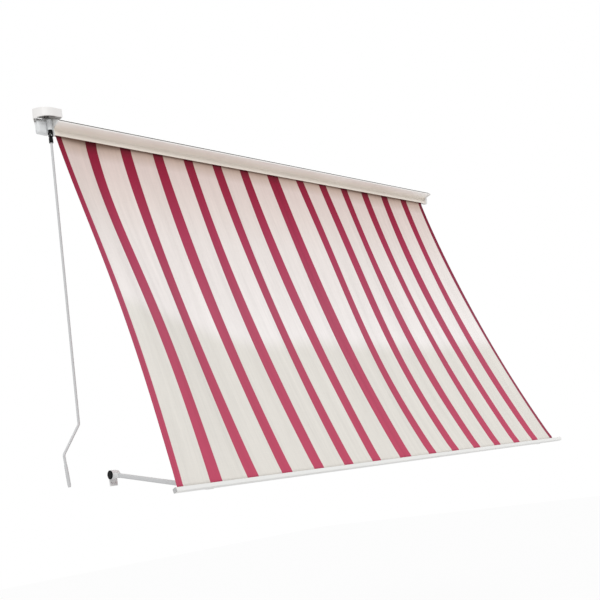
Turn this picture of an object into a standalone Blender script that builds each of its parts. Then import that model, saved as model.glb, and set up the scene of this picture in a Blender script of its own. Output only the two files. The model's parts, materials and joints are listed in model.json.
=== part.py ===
"""Drop-arm awning: striped cloth on a roller under a hood, drawn down by two short arms.

Metres, +Z up. X runs along the awning, Y into the wall and Z up. The origin lies on the
wall, at the middle of the wall rail's back face.
"""

import math

import bmesh
import bpy
from mathutils import Matrix, Vector

# Clearances
GAP = 0.0003
RUNNING_GAP = 0.0004

# Cloth
CLOTH_WIDTH = 2.388
CLOTH_THICKNESS = 0.0008
SAG_MIDDLE = 0.042
SAG_EDGE = 0.018
WAIST = 0.032
EDGE_REACH = 0.20
RIPPLE_DEPTH = 0.0035
RIPPLE_COUNT = 9
CLOTH_COLUMNS = 54
CLOTH_ROWS = 16

# Roller
ROLLER_OUT = 0.0337
ROLLER_DROP = 0.0239
ROLLER_RADIUS = 0.025
ROLLER_WALL = 0.0015
ROLL_RADIUS = 0.0285
ROLLER_OVERRUN = 0.018
AXLE_RADIUS = 0.006
PLUG_DEPTH = 0.040
PLUG_FLANGE = 0.002

# Wall rail
RAIL_HEIGHT = 0.060
RAIL_THICKNESS = 0.0025
RAIL_LIP = 0.0115

# Hood, its section given by four corners in Y and Z
HOOD_WALL = 0.002
HOOD_TOP_HEIGHT = 0.032
HOOD_NOSE_OUT = 0.1245
HOOD_NOSE_DROP = 0.0265
HOOD_NOSE_RADIUS = 0.004
HOOD_FOLD_OUT = 0.0757
HOOD_FOLD_DROP = 0.047
HOOD_LIP_OUT = 0.0868
HOOD_LIP_DROP = 0.076
HOOD_RIGHT_OVERHANG = 0.034

# End brackets
BRACKET_THICKNESS = 0.0025
BRACKET_BORDER = 0.0015
TAB_WIDTH = 0.030
TAB_THICKNESS = 0.003
TAB_SCREW_HEIGHT = 0.018
TAB_SCREW_SPACING = 0.014

# Worm gear
WHEEL_RADIUS = 0.0300
WHEEL_WIDTH = 0.014
WHEEL_TEETH = 28
TOOTH_DEPTH = 0.0030
WORM_RADIUS = 0.0090
WORM_LENGTH = 0.026
WORM_STARTS = 4
JOURNAL_RADIUS = 0.0045
GEAR_CENTRE = 0.0125
CASING_WALL = 0.0018
CASING_LENGTH = 0.024
CASING_BOX_LENGTH = 0.039
CASING_BOX_BACK = 0.046
CASING_BOX_FRONT = 0.074
CASING_BOX_LOW = 0.069
NECK_ABOVE = 0.0155
NECK_BELOW = 0.0280

# Universal joint
FORK_RADIUS = 0.0085
COLLAR_LENGTH = 0.011
FORK_REACH = 0.0125
EAR_THICKNESS = 0.0028
EAR_HALF_WIDTH = 0.0040
EAR_BEYOND_PIN = 0.0017
CROSS_HALF = 0.0050
CROSS_PIN_RADIUS = 0.0022

# Crank
ROD_RADIUS = 0.0050
CRANK_STRAIGHT = 1.153
CRANK_OFFSET = 0.074
CRANK_SLANT_DROP = 0.109
CRANK_HANDLE = 0.116
HANDLE_LEAN = math.radians(5.3)
BEND_RADIUS = 0.020
GRIP_LENGTH = 0.083
GRIP_TOP_RADIUS = 0.0060
GRIP_LOW_RADIUS = 0.0068
GRIP_PIN_RADIUS = 0.0040

# Left end cap, and the right one
CAP_BEND = 0.016
CAP_BACK_REACH = 0.019
CAP_LENGTH = 0.035
CAP_LIFT = 0.040
CAP_FRONT_HEIGHT = 0.0255
CAP_SKIRT = 0.012
CAP_WALL = 0.0025
RIGHT_CAP_LENGTH = 0.010

# Arms
ARM_LENGTH = 0.581
ARM_PLANE = 1.055
ARM_REST_ANGLE = math.radians(10.8)
PIVOT_OUT = 0.028
PIVOT_DROP = 1.443
ARM_HEIGHT = 0.017
ARM_WIDTH = 0.013
ARM_WALL = 0.0015
KNUCKLE_RADIUS = 0.0165
KNUCKLE_WIDTH = 0.023
KNUCKLE_LENGTH = 0.045
SPIGOT_LENGTH = 0.030
PIVOT_PIN_RADIUS = 0.005
PIVOT_CAP_RADIUS = 0.017
PIVOT_CAP_THICKNESS = 0.005
EYE_RADIUS = 0.0075
EYE_WIDTH = 0.016
TIP_LENGTH = 0.040
TIP_PIN_RADIUS = 0.003

# Arm brackets on the wall
PLATE_WIDTH = 0.035
PLATE_THICKNESS = 0.004
PLATE_BELOW = 0.042
PLATE_ABOVE = 0.019
LUG_WIDTH = 0.010
SCREW_HEAD_RADIUS = 0.0045
SCREW_HEAD_HEIGHT = 0.0025
SCREW_SHANK_RADIUS = 0.0022
RAIL_SCREWS = 3
RAIL_SCREW_SPACING = 0.9

# Front bar, in the frame whose Z follows the cloth
BAR_HEIGHT = 0.016
BAR_DEPTH = 0.018
BAR_DROP = 0.006
BAR_WALL = 0.0018
BAR_LEFT_OVERHANG = 0.011
BAR_RIGHT_OVERHANG = 0.060
PIVOT_BEHIND_BAR = 0.0155
SLOT_RADIUS = 0.0036
SLOT_MOUTH = 0.0030
SLOT_DEPTH = 0.0055
HEM_ROD_RADIUS = 0.0026
BAR_CAP_THICKNESS = 0.003
CLAMP_BASE = 0.0025
CLAMP_EAR = 0.003
CLAMP_HEIGHT = 0.016
EAR_RADIUS = 0.0065

ROUND = 32
SMALL_ROUND = 16

# Places that follow from the sizes above
CLOTH_HALF = CLOTH_WIDTH / 2
PLATE_LEFT = -CLOTH_HALF - 0.0032
PLATE_RIGHT = CLOTH_HALF + HOOD_RIGHT_OVERHANG
GEAR_X = PLATE_LEFT - GEAR_CENTRE
WORM_OUT = ROLLER_OUT + WHEEL_RADIUS + WORM_RADIUS + RUNNING_GAP
CASING_RADIUS = WHEEL_RADIUS + CASING_WALL + RUNNING_GAP
CASING_LEFT = PLATE_LEFT - BRACKET_THICKNESS - GAP - CASING_LENGTH
NECK_RADIUS = WORM_RADIUS + CASING_WALL + RUNNING_GAP
NECK_BOTTOM = -ROLLER_DROP - NECK_BELOW
JOINT_Z = NECK_BOTTOM - GAP - COLLAR_LENGTH - FORK_REACH
CLOTH_RADIUS = ROLL_RADIUS + GAP + CLOTH_THICKNESS / 2
SLOT_Y = -PIVOT_BEHIND_BAR - BAR_DEPTH / 2
SLOT_Z = BAR_HEIGHT / 2 - BAR_DROP - SLOT_DEPTH
TIP_Y = -PIVOT_OUT - ARM_LENGTH * math.cos(ARM_REST_ANGLE)
TIP_Z = -PIVOT_DROP - ARM_LENGTH * math.sin(ARM_REST_ANGLE)


def clear_scene():
    """Removes every object that the file opened with."""
    for obj in list(bpy.data.objects):
        bpy.data.objects.remove(obj, do_unlink=True)


def material(name, colour, roughness, metallic=0.0):
    """A Principled material of one colour."""
    mat = bpy.data.materials.new(name)
    mat.use_nodes = True
    shader = mat.node_tree.nodes["Principled BSDF"]
    shader.inputs["Base Color"].default_value = (*colour, 1.0)
    shader.inputs["Roughness"].default_value = roughness
    shader.inputs["Metallic"].default_value = metallic
    return mat


def empty(name, location, turn=(0.0, 0.0, 0.0), parent=None):
    """A frame that pieces are parented to. A moving body's frame lies on its axis."""
    frame = bpy.data.objects.new(name, None)
    frame.empty_display_size = 0.05
    frame.location = location
    frame.rotation_euler = turn
    frame.parent = parent
    bpy.context.scene.collection.objects.link(frame)
    return frame


def solid(name, mesh, colour=None, parent=None, bevel=0.0, smooth=True):
    """A mesh as an object. Without a colour it is a cutter, which the render leaves out."""
    bmesh.ops.recalc_face_normals(mesh, faces=mesh.faces)
    data = bpy.data.meshes.new(name)
    mesh.to_mesh(data)
    mesh.free()
    obj = bpy.data.objects.new(name, data)
    obj.parent = parent
    bpy.context.scene.collection.objects.link(obj)
    if colour is None:
        obj.hide_render = True
        obj.display_type = "WIRE"
    else:
        data.materials.append(material(name, *colour))
    if bevel:
        edge = obj.modifiers.new("Soft edges", "BEVEL")
        edge.width = bevel
        edge.segments = 2
        edge.limit_method = "ANGLE"
        edge.angle_limit = math.radians(40)
    if smooth:
        data.shade_smooth()
        data.set_sharp_from_angle(angle=math.radians(35))
    return obj


def boolean(obj, other, operation="DIFFERENCE"):
    """Cuts the other shape from the object, or joins it, and hides it from the render."""
    step = obj.modifiers.new(other.name, "BOOLEAN")
    step.operation = operation
    step.object = other
    step.solver = "EXACT"
    other.hide_render = True
    other.display_type = "WIRE"


def prism(outline, low, high):
    """An outline in Y and Z carried along X."""
    mesh = bmesh.new()
    near = [mesh.verts.new((low, y, z)) for y, z in outline]
    far = [mesh.verts.new((high, y, z)) for y, z in outline]
    mesh.faces.new(near)
    mesh.faces.new(reversed(far))
    count = len(outline)
    for i in range(count):
        j = (i + 1) % count
        mesh.faces.new((near[i], far[i], far[j], near[j]))
    return mesh


def ring_prism(outer, inner, low, high):
    """A tube along X between two outlines with as many points each."""
    mesh = bmesh.new()
    loops = [
        [mesh.verts.new((x, y, z)) for y, z in outline]
        for outline in (outer, inner)
        for x in (low, high)
    ]
    outer_low, outer_high, inner_low, inner_high = loops
    count = len(outer)
    for i in range(count):
        j = (i + 1) % count
        mesh.faces.new((outer_low[i], outer_high[i], outer_high[j], outer_low[j]))
        mesh.faces.new((inner_low[j], inner_high[j], inner_high[i], inner_low[i]))
        mesh.faces.new((outer_low[j], inner_low[j], inner_low[i], outer_low[i]))
        mesh.faces.new((outer_high[i], inner_high[i], inner_high[j], outer_high[j]))
    return mesh


def box(low, high):
    """A box between two corners."""
    outline = [(low[1], low[2]), (high[1], low[2]), (high[1], high[2]), (low[1], high[2])]
    return prism(outline, low[0], high[0])


def circle(radius, count=ROUND, centre=(0.0, 0.0), start=0.0):
    """Points of a circle in Y and Z."""
    turns = [start + 2 * math.pi * i / count for i in range(count)]
    return [(centre[0] + radius * math.cos(t), centre[1] + radius * math.sin(t)) for t in turns]


def oval(height, width_y, wall=0.0, count=ROUND):
    """A flattened round outline, for use in X and Z."""
    points = []
    for i in range(count):
        t = 2 * math.pi * i / count
        c = math.copysign(abs(math.cos(t)) ** 0.6, math.cos(t))
        s = math.copysign(abs(math.sin(t)) ** 0.6, math.sin(t))
        points.append(((width_y / 2 - wall) * c, (height / 2 - wall) * s))
    return points


def cylinder(radius, low, high, axis="X", centre=(0.0, 0.0), count=ROUND, high_radius=None):
    """A cylinder or cone along X, Y or Z. The centre gives its two other coordinates in order."""
    mesh = bmesh.new()
    top = radius if high_radius is None else high_radius
    bmesh.ops.create_cone(
        mesh, cap_ends=True, segments=count, radius1=radius, radius2=top, depth=high - low
    )
    middle = (low + high) / 2
    if axis == "X":
        place = Matrix.Translation((middle, *centre)) @ Matrix.Rotation(math.pi / 2, 4, "Y")
    elif axis == "Y":
        place = Matrix.Translation((centre[0], middle, centre[1]))
        place = place @ Matrix.Rotation(-math.pi / 2, 4, "X")
    else:
        place = Matrix.Translation((*centre, middle))
    bmesh.ops.transform(mesh, matrix=place, verts=mesh.verts)
    return mesh


def strip_outline(path, wall):
    """The closed outline of a wall of even thickness along an open path in Y and Z."""
    points = [Vector(p) for p in path]
    left, right = [], []
    for i, point in enumerate(points):
        before = (point - points[i - 1]).normalized() if i else None
        after = (points[i + 1] - point).normalized() if i < len(points) - 1 else None
        run = (before or after) + (after or before)
        run.normalize()
        side = Vector((-run.y, run.x))
        edge = before or after
        stretch = 1 / max(side.dot(Vector((-edge.y, edge.x))), 0.3)
        left.append(point + side * wall / 2 * stretch)
        right.append(point - side * wall / 2 * stretch)
    return [tuple(p) for p in left + right[::-1]]


def rounded_corner(before, corner, after, radius, steps=5):
    """Points of an arc that rounds one corner of a path."""
    corner = Vector(corner)
    back = (Vector(before) - corner).normalized()
    ahead = (Vector(after) - corner).normalized()
    half = back.angle(ahead) / 2
    middle = corner + (back + ahead).normalized() * radius / math.sin(half)
    start = corner + back * radius / math.tan(half)
    end = corner + ahead * radius / math.tan(half)
    points = []
    for i in range(steps + 1):
        share = start.lerp(end, i / steps) - middle
        points.append(middle + share.normalized() * radius)
    return points


def cloth_line():
    """Where the cloth leaves the roll, where it meets the bar, and its lean from plumb.

    The cloth is tangent to the roll and ends in the bar's slot, and the bar leans with it.
    """
    lean = math.radians(20)
    for _ in range(30):
        slot_y = TIP_Y + SLOT_Y * math.cos(lean) + SLOT_Z * math.sin(lean)
        slot_z = TIP_Z - SLOT_Y * math.sin(lean) + SLOT_Z * math.cos(lean)
        reach_y = -ROLLER_OUT - slot_y
        reach_z = -ROLLER_DROP - slot_z
        reach = math.hypot(reach_y, reach_z)
        lean = math.acos(CLOTH_RADIUS / reach) - math.atan2(reach_z, reach_y)
    leave_y = -ROLLER_OUT - CLOTH_RADIUS * math.cos(lean)
    leave_z = -ROLLER_DROP + CLOTH_RADIUS * math.sin(lean)
    return (leave_y, leave_z), (slot_y, slot_z), lean


CLOTH_TOP, CLOTH_SLOT, CLOTH_LEAN = cloth_line()

WHITE = ((0.82, 0.81, 0.79), 0.35)
CREAM = ((0.66, 0.61, 0.55), 0.40)
LIGHT_GREY = ((0.56, 0.56, 0.56), 0.40)
DARK_GREY = ((0.10, 0.10, 0.10), 0.50)
BLACK = ((0.02, 0.02, 0.02), 0.45)
CAST_GREY = ((0.50, 0.50, 0.50), 0.40, 0.3)
STEEL = ((0.60, 0.60, 0.60), 0.30, 1.0)
BRASS = ((0.65, 0.48, 0.20), 0.35, 1.0)
CLOTH = ((0.74, 0.67, 0.60), 0.85)


def hood_path():
    """The middle of the hood's wall: roof, nose, underside and front lip."""
    top = (-HOOD_WALL / 2 - GAP, HOOD_TOP_HEIGHT)
    nose = (-HOOD_NOSE_OUT, -HOOD_NOSE_DROP)
    fold = (-HOOD_FOLD_OUT, -HOOD_FOLD_DROP)
    lip = (-HOOD_LIP_OUT, -HOOD_LIP_DROP)
    return [top, *rounded_corner(top, nose, fold, HOOD_NOSE_RADIUS), fold, lip]


def roof_height(y, lift=0.0):
    """Height of the middle of the roof's wall at Y, raised by some lift."""
    slope = (HOOD_TOP_HEIGHT + HOOD_NOSE_DROP) / (HOOD_NOSE_OUT - HOOD_WALL / 2 - GAP)
    return HOOD_TOP_HEIGHT + slope * (y + HOOD_WALL / 2 + GAP) + lift


def make_screw(name, parent, x, z, back, height):
    """A pan-head screw whose shank fills its hole and whose head lies on the plate."""
    head_face = -back - height
    outline = [
        (0.0, -GAP),
        (SCREW_SHANK_RADIUS, -GAP),
        (SCREW_SHANK_RADIUS, head_face - GAP),
        (SCREW_HEAD_RADIUS, head_face - GAP),
        (SCREW_HEAD_RADIUS, head_face - GAP - SCREW_HEAD_HEIGHT * 0.45),
        (SCREW_HEAD_RADIUS * 0.6, head_face - GAP - SCREW_HEAD_HEIGHT),
        (0.0, head_face - GAP - SCREW_HEAD_HEIGHT),
    ]
    return solid(name, turned(outline, "Y", (x, z)), STEEL, parent)


def turned(profile, axis, centre, count=SMALL_ROUND):
    """A profile of radius and height turned about an axis, closed at both ends."""
    mesh = bmesh.new()
    rings = []
    for radius, height in profile:
        around = count if radius > 0 else 1
        ring = []
        for i in range(around):
            t = 2 * math.pi * i / count
            a = centre[0] + radius * math.cos(t)
            b = centre[1] + radius * math.sin(t)
            place = {"X": (height, a, b), "Y": (a, height, b), "Z": (a, b, height)}[axis]
            ring.append(mesh.verts.new(place))
        rings.append(ring)
    for low, high in zip(rings, rings[1:]):
        for i in range(count):
            j = (i + 1) % count
            corners = [low[i % len(low)], low[j % len(low)], high[j % len(high)], high[i % len(high)]]
            unique = list(dict.fromkeys(corners))
            if len(unique) > 2:
                mesh.faces.new(unique)
    return mesh


def make_rail(frame):
    """The rail on the wall, with a sloping lip that carries the hood's roof."""
    half = RAIL_HEIGHT / 2
    lift = -HOOD_WALL / 2 * 1.11 - GAP
    front = -RAIL_THICKNESS
    tip = -RAIL_THICKNESS - RAIL_LIP
    outline = [
        (0.0, -half),
        (front, -half),
        (front, roof_height(front, lift) - RAIL_THICKNESS),
        (tip, roof_height(tip, lift) - RAIL_THICKNESS),
        (tip, roof_height(tip, lift)),
        (front, roof_height(front, lift)),
        (0.0, min(half, roof_height(0.0, lift))),
    ]
    left = PLATE_LEFT + GAP
    right = PLATE_RIGHT - GAP - TAB_WIDTH - GAP
    rail = solid("wall_rail", prism(outline, left, right), CREAM, frame, smooth=False)
    for i in range(RAIL_SCREWS):
        x = (i - (RAIL_SCREWS - 1) / 2) * RAIL_SCREW_SPACING
        hole = cylinder(SCREW_SHANK_RADIUS + GAP, -0.02, 0.01, "Y", (x, 0.012), SMALL_ROUND)
        boolean(rail, solid(f"rail_hole_{i + 1}", hole, parent=frame))
        make_screw(f"rail_screw_{i + 1}", frame, x, 0.012, 0.0, RAIL_THICKNESS)


def make_hood(frame):
    """The extruded hood over the roller: roof, rounded nose, underside and front lip."""
    section = strip_outline(hood_path(), HOOD_WALL)
    solid("hood", prism(section, PLATE_LEFT + GAP, PLATE_RIGHT - GAP), CREAM, frame)


def bracket_outline(neck):
    """An end bracket seen from the side. It closes the hood's end and reaches the worm's neck."""
    nose = -HOOD_NOSE_OUT - BRACKET_BORDER
    low = -HOOD_LIP_DROP - BRACKET_BORDER
    front = -WORM_OUT - NECK_RADIUS if neck else -HOOD_LIP_OUT - 0.006
    return [
        (0.0, -RAIL_HEIGHT / 2),
        (0.0, roof_height(0.0, BRACKET_BORDER)),
        (nose, roof_height(nose, BRACKET_BORDER)),
        (nose, -HOOD_NOSE_DROP - 0.006),
        (front, -HOOD_NOSE_DROP - 0.014),
        (front, NECK_BOTTOM),
        (-HOOD_LIP_OUT - 0.002, low),
        (-0.072, low),
        (-0.038, -0.058),
    ]


def make_brackets(frame):
    """The two end plates, each with a tab that is screwed to the wall."""
    for side, plate_x in (("left", PLATE_LEFT), ("right", PLATE_RIGHT)):
        sign = -1 if side == "left" else 1
        low, high = sorted((plate_x, plate_x + sign * BRACKET_THICKNESS))
        plate = solid(
            f"{side}_bracket", prism(bracket_outline(side == "left"), low, high), WHITE, frame
        )
        tab_from = plate_x + sign * BRACKET_THICKNESS / 2
        tab_to = plate_x - TAB_WIDTH
        z_low, z_high = -RAIL_HEIGHT / 2, RAIL_HEIGHT / 2 - 0.002
        tab = box(
            (min(tab_from, tab_to), -TAB_THICKNESS, z_low),
            (max(tab_from, tab_to), 0.0, z_high),
        )
        boolean(plate, solid(f"{side}_tab", tab, parent=frame), "UNION")
        hole = cylinder(
            AXLE_RADIUS + 0.0025, plate_x - 0.01, plate_x + 0.01, "X", (-ROLLER_OUT, -ROLLER_DROP)
        )
        boolean(plate, solid(f"{side}_axle_hole", hole, parent=frame))
        for i in range(2):
            x = plate_x - TAB_WIDTH / 2 + (i - 0.5) * TAB_SCREW_SPACING
            z = TAB_SCREW_HEIGHT
            cut = cylinder(SCREW_SHANK_RADIUS + GAP, -0.02, 0.01, "Y", (x, z), SMALL_ROUND)
            boolean(plate, solid(f"{side}_tab_hole_{i + 1}", cut, parent=frame))
            make_screw(f"{side}_bracket_screw_{i + 1}", frame, x, z, 0.0, TAB_THICKNESS)
        bush = ring_prism(
            circle(AXLE_RADIUS + 0.0025 - GAP, centre=(-ROLLER_OUT, -ROLLER_DROP)),
            circle(AXLE_RADIUS + GAP, centre=(-ROLLER_OUT, -ROLLER_DROP)),
            low - 0.0003,
            high + 0.0003,
        )
        solid(f"{side}_bush", bush, BLACK, frame)


def make_casing(frame):
    """The gear casing: a drum round the worm wheel and a neck round the worm."""
    right = PLATE_LEFT - BRACKET_THICKNESS - GAP
    axle = (-ROLLER_OUT, -ROLLER_DROP)
    neck_top = -ROLLER_DROP + NECK_ABOVE
    box_top = -CAP_SKIRT - RUNNING_GAP
    casing = solid(
        "gear_casing", cylinder(CASING_RADIUS, CASING_LEFT, right, "X", axle), LIGHT_GREY, frame
    )
    link_left = GEAR_X - NECK_RADIUS
    link = box((link_left, -WORM_OUT, NECK_BOTTOM), (right, -ROLLER_OUT, neck_top))
    neck = cylinder(NECK_RADIUS, NECK_BOTTOM, neck_top, "Z", (GEAR_X, -WORM_OUT))
    box_left = CASING_LEFT - CASING_BOX_LENGTH
    outer = box(
        (box_left, -CASING_BOX_FRONT, -CASING_BOX_LOW),
        (CASING_LEFT + 2 * CASING_WALL, -CASING_BOX_BACK, box_top),
    )
    boolean(casing, solid("casing_box", outer, parent=frame, bevel=0.008), "UNION")
    room = box(
        (box_left + CASING_WALL, -CASING_BOX_FRONT + CASING_WALL, -CASING_BOX_LOW + CASING_WALL),
        (CASING_LEFT, -CASING_BOX_BACK + 0.01, box_top - CASING_WALL),
    )
    boolean(casing, solid("casing_box_room", room, parent=frame, bevel=0.006))
    boolean(casing, solid("casing_link", link, parent=frame), "UNION")
    boolean(casing, solid("casing_neck", neck, parent=frame), "UNION")
    inside = CASING_RADIUS - CASING_WALL
    drum = cylinder(inside, CASING_LEFT + CASING_WALL, right + 0.01, "X", axle)
    bore = cylinder(
        NECK_RADIUS - CASING_WALL, NECK_BOTTOM + CASING_WALL, neck_top - CASING_WALL, "Z",
        (GEAR_X, -WORM_OUT),
    )
    throat = box(
        (link_left + CASING_WALL, -WORM_OUT, NECK_BOTTOM + CASING_WALL),
        (right + 0.01, -ROLLER_OUT, neck_top - CASING_WALL),
    )
    trim = box((right, -WORM_OUT - 0.05, -0.2), (right + 0.02, 0.05, 0.1))
    flat = box((CASING_LEFT - 0.01, -TAB_THICKNESS - GAP, -0.2), (right + 0.01, 0.05, 0.1))
    journal = cylinder(
        JOURNAL_RADIUS + GAP, NECK_BOTTOM - 0.01, neck_top + 0.01, "Z", (GEAR_X, -WORM_OUT),
        SMALL_ROUND,
    )
    axle_hole = cylinder(AXLE_RADIUS + GAP, CASING_LEFT - 0.01, CASING_LEFT + 0.01, "X", axle)
    cutters = {"drum": drum, "bore": bore, "throat": throat, "trim": trim}
    cutters.update({"flat": flat, "journal": journal, "axle": axle_hole})
    for name, mesh in cutters.items():
        boolean(casing, solid(f"casing_{name}_cut", mesh, parent=frame))


def cap_plan(inset):
    """The left cap seen from above: straight over the hood, round in front, slanted behind."""
    radius = (HOOD_NOSE_OUT + HOOD_WALL) / 2 - inset
    middle_y = -(HOOD_NOSE_OUT + HOOD_WALL) / 2 - GAP
    bend_x = PLATE_LEFT - CAP_BEND
    end_x = bend_x + CAP_LENGTH
    points = [(end_x - inset, middle_y - radius)]
    for i in range(11):
        t = -math.pi / 2 - math.pi / 2 * i / 10
        points.append((bend_x + radius * math.cos(t), middle_y + radius * math.sin(t)))
    points.append((bend_x - CAP_BACK_REACH + inset, middle_y + radius))
    points.append((end_x - inset, middle_y + radius))
    return points


def cap_block(inset, low, drop):
    """A block on the cap's plan, whose top slopes from the wall down to the front."""
    mesh = bmesh.new()
    plan = cap_plan(inset)
    fall = (CAP_LIFT - CAP_FRONT_HEIGHT) / (HOOD_NOSE_OUT + HOOD_WALL)
    bottom = [mesh.verts.new((x, y, low)) for x, y in plan]
    top = [mesh.verts.new((x, y, CAP_LIFT + fall * y - drop)) for x, y in plan]
    mesh.faces.new(bottom)
    mesh.faces.new(reversed(top))
    for i in range(len(plan)):
        j = (i + 1) % len(plan)
        mesh.faces.new((bottom[i], top[i], top[j], bottom[j]))
    return mesh


def make_caps(frame):
    """The moulded cap over the gear, and the flat one that closes the right bracket."""
    cap = solid("left_cap", cap_block(0.0, -CAP_SKIRT, 0.0), WHITE, frame, bevel=0.003)
    hollow = cap_block(CAP_WALL, -CAP_SKIRT - 0.01, CAP_WALL)
    boolean(cap, solid("left_cap_hollow", hollow, parent=frame))
    clear = HOOD_WALL / 2 + GAP
    under = [
        (0.02, -0.2),
        (0.02, roof_height(0.02, BRACKET_BORDER + GAP)),
        (-0.2, roof_height(-0.2, BRACKET_BORDER + GAP)),
        (-0.2, -0.2),
    ]
    slot = prism(under, PLATE_LEFT - BRACKET_THICKNESS - clear, PLATE_LEFT + 0.2)
    boolean(cap, solid("left_cap_roof_cut", slot, parent=frame))
    back = box(
        (PLATE_LEFT - TAB_WIDTH - CAP_WALL, -TAB_THICKNESS - SCREW_HEAD_HEIGHT - 0.001, -0.05),
        (PLATE_LEFT + CAP_LENGTH, 0.01, RAIL_HEIGHT / 2 + 0.002),
    )
    boolean(cap, solid("left_cap_back_cut", back, parent=frame))

    low = PLATE_RIGHT + BRACKET_THICKNESS + GAP
    high = low + RIGHT_CAP_LENGTH
    outline = bracket_outline(False)
    outline[0] = (-GAP, outline[0][1])
    outline[1] = (-GAP, outline[1][1])
    flat = solid("right_cap", prism(outline, low, high), WHITE, frame, bevel=0.0025)
    axle = (-ROLLER_OUT, -ROLLER_DROP)
    pocket = cylinder(AXLE_RADIUS + 0.004, low - 0.01, high - CAP_WALL, "X", axle)
    boolean(flat, solid("right_cap_pocket", pocket, parent=frame))


def cloth_point(across, down):
    """A point of the cloth's middle surface, from its left edge to its right and its top down.

    It sags towards the wall between roll and bar, less near its side edges, which draw in,
    and shallow ripples run down it.
    """
    x = (across - 0.5) * CLOTH_WIDTH
    belly = 4 * down * (1 - down)
    edge = math.exp(-(((CLOTH_HALF - abs(x)) / EDGE_REACH) ** 2))
    sag = SAG_MIDDLE + (SAG_EDGE - SAG_MIDDLE) * edge
    ripple = RIPPLE_DEPTH * math.sin(2 * math.pi * RIPPLE_COUNT * across + 3 * down)
    out = belly * (ripple - sag)
    y = CLOTH_TOP[0] + (CLOTH_SLOT[0] - CLOTH_TOP[0]) * down - out * math.cos(CLOTH_LEAN)
    z = CLOTH_TOP[1] + (CLOTH_SLOT[1] - CLOTH_TOP[1]) * down + out * math.sin(CLOTH_LEAN)
    return Vector((x - math.copysign(WAIST * belly * edge, x), y, z))


def make_cloth(frame):
    """The sheet from the roll to the bar's slot, one closed solid."""
    mesh = bmesh.new()
    half = CLOTH_THICKNESS / 2
    front = Vector((0, -math.cos(CLOTH_LEAN), math.sin(CLOTH_LEAN)))
    length = math.hypot(CLOTH_SLOT[0] - CLOTH_TOP[0], CLOTH_SLOT[1] - CLOTH_TOP[1])
    end = 1 - (HEM_ROD_RADIUS + GAP) / length
    sheets = []
    for face in (half, -half):
        rows = []
        for r in range(CLOTH_ROWS + 1):
            down = end * r / CLOTH_ROWS
            row = [
                mesh.verts.new(cloth_point(c / CLOTH_COLUMNS, down) + front * face)
                for c in range(CLOTH_COLUMNS + 1)
            ]
            rows.append(row)
        sheets.append(rows)
    outer, inner = sheets
    for r in range(CLOTH_ROWS):
        for c in range(CLOTH_COLUMNS):
            mesh.faces.new((outer[r][c], outer[r + 1][c], outer[r + 1][c + 1], outer[r][c + 1]))
            mesh.faces.new((inner[r][c + 1], inner[r + 1][c + 1], inner[r + 1][c], inner[r][c]))
        for c in (0, CLOTH_COLUMNS):
            mesh.faces.new((outer[r][c], inner[r][c], inner[r + 1][c], outer[r + 1][c]))
    for c in range(CLOTH_COLUMNS):
        for r in (0, CLOTH_ROWS):
            mesh.faces.new((outer[r][c], outer[r][c + 1], inner[r][c + 1], inner[r][c]))
    solid("fabric_sheet", mesh, CLOTH, frame)


def make_roller(axis):
    """The roller tube, its two plugs, the worm wheel and the turns of cloth on it."""
    left = -CLOTH_HALF
    right = CLOTH_HALF + ROLLER_OVERRUN
    tube = ring_prism(circle(ROLLER_RADIUS), circle(ROLLER_RADIUS - ROLLER_WALL), left, right)
    solid("roller_tube", tube, STEEL, axis)
    turns = ring_prism(
        circle(ROLL_RADIUS, 48), circle(ROLLER_RADIUS + GAP, 48), -CLOTH_HALF, CLOTH_HALF
    )
    solid("fabric_roll", turns, CLOTH, axis)
    inside = ROLLER_RADIUS - ROLLER_WALL - GAP
    ends = (("left", left, -1, CASING_LEFT + GAP), ("right", right, 1, PLATE_RIGHT + 0.009))
    for side, end, sign, axle_end in ends:
        profile = [
            (0.0, end - sign * PLUG_DEPTH),
            (inside, end - sign * PLUG_DEPTH),
            (inside, end + sign * GAP),
            (ROLLER_RADIUS, end + sign * GAP),
            (ROLLER_RADIUS, end + sign * (GAP + PLUG_FLANGE)),
            (AXLE_RADIUS, end + sign * (GAP + PLUG_FLANGE)),
            (AXLE_RADIUS, axle_end),
            (0.0, axle_end),
        ]
        solid(f"roller_plug_{side}", turned(profile, "X", (0.0, 0.0), ROUND), DARK_GREY, axis)


def make_wheel(axis):
    """The worm wheel on the left plug's axle."""
    outline = []
    pitch = 2 * math.pi / WHEEL_TEETH
    for i in range(WHEEL_TEETH):
        for part, radius in ((-0.36, -TOOTH_DEPTH), (-0.16, 0), (0.16, 0), (0.36, -TOOTH_DEPTH)):
            t = (i + part) * pitch
            r = WHEEL_RADIUS + radius
            outline.append((r * math.cos(t), r * math.sin(t)))
    low = GEAR_X - WHEEL_WIDTH / 2
    wheel = solid("worm_wheel", prism(outline, low, low + WHEEL_WIDTH), BRASS, axis, smooth=False)
    hole = cylinder(AXLE_RADIUS + GAP, low - 0.01, low + WHEEL_WIDTH + 0.01, "X")
    boolean(wheel, solid("worm_wheel_hole", hole, parent=axis))


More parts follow.
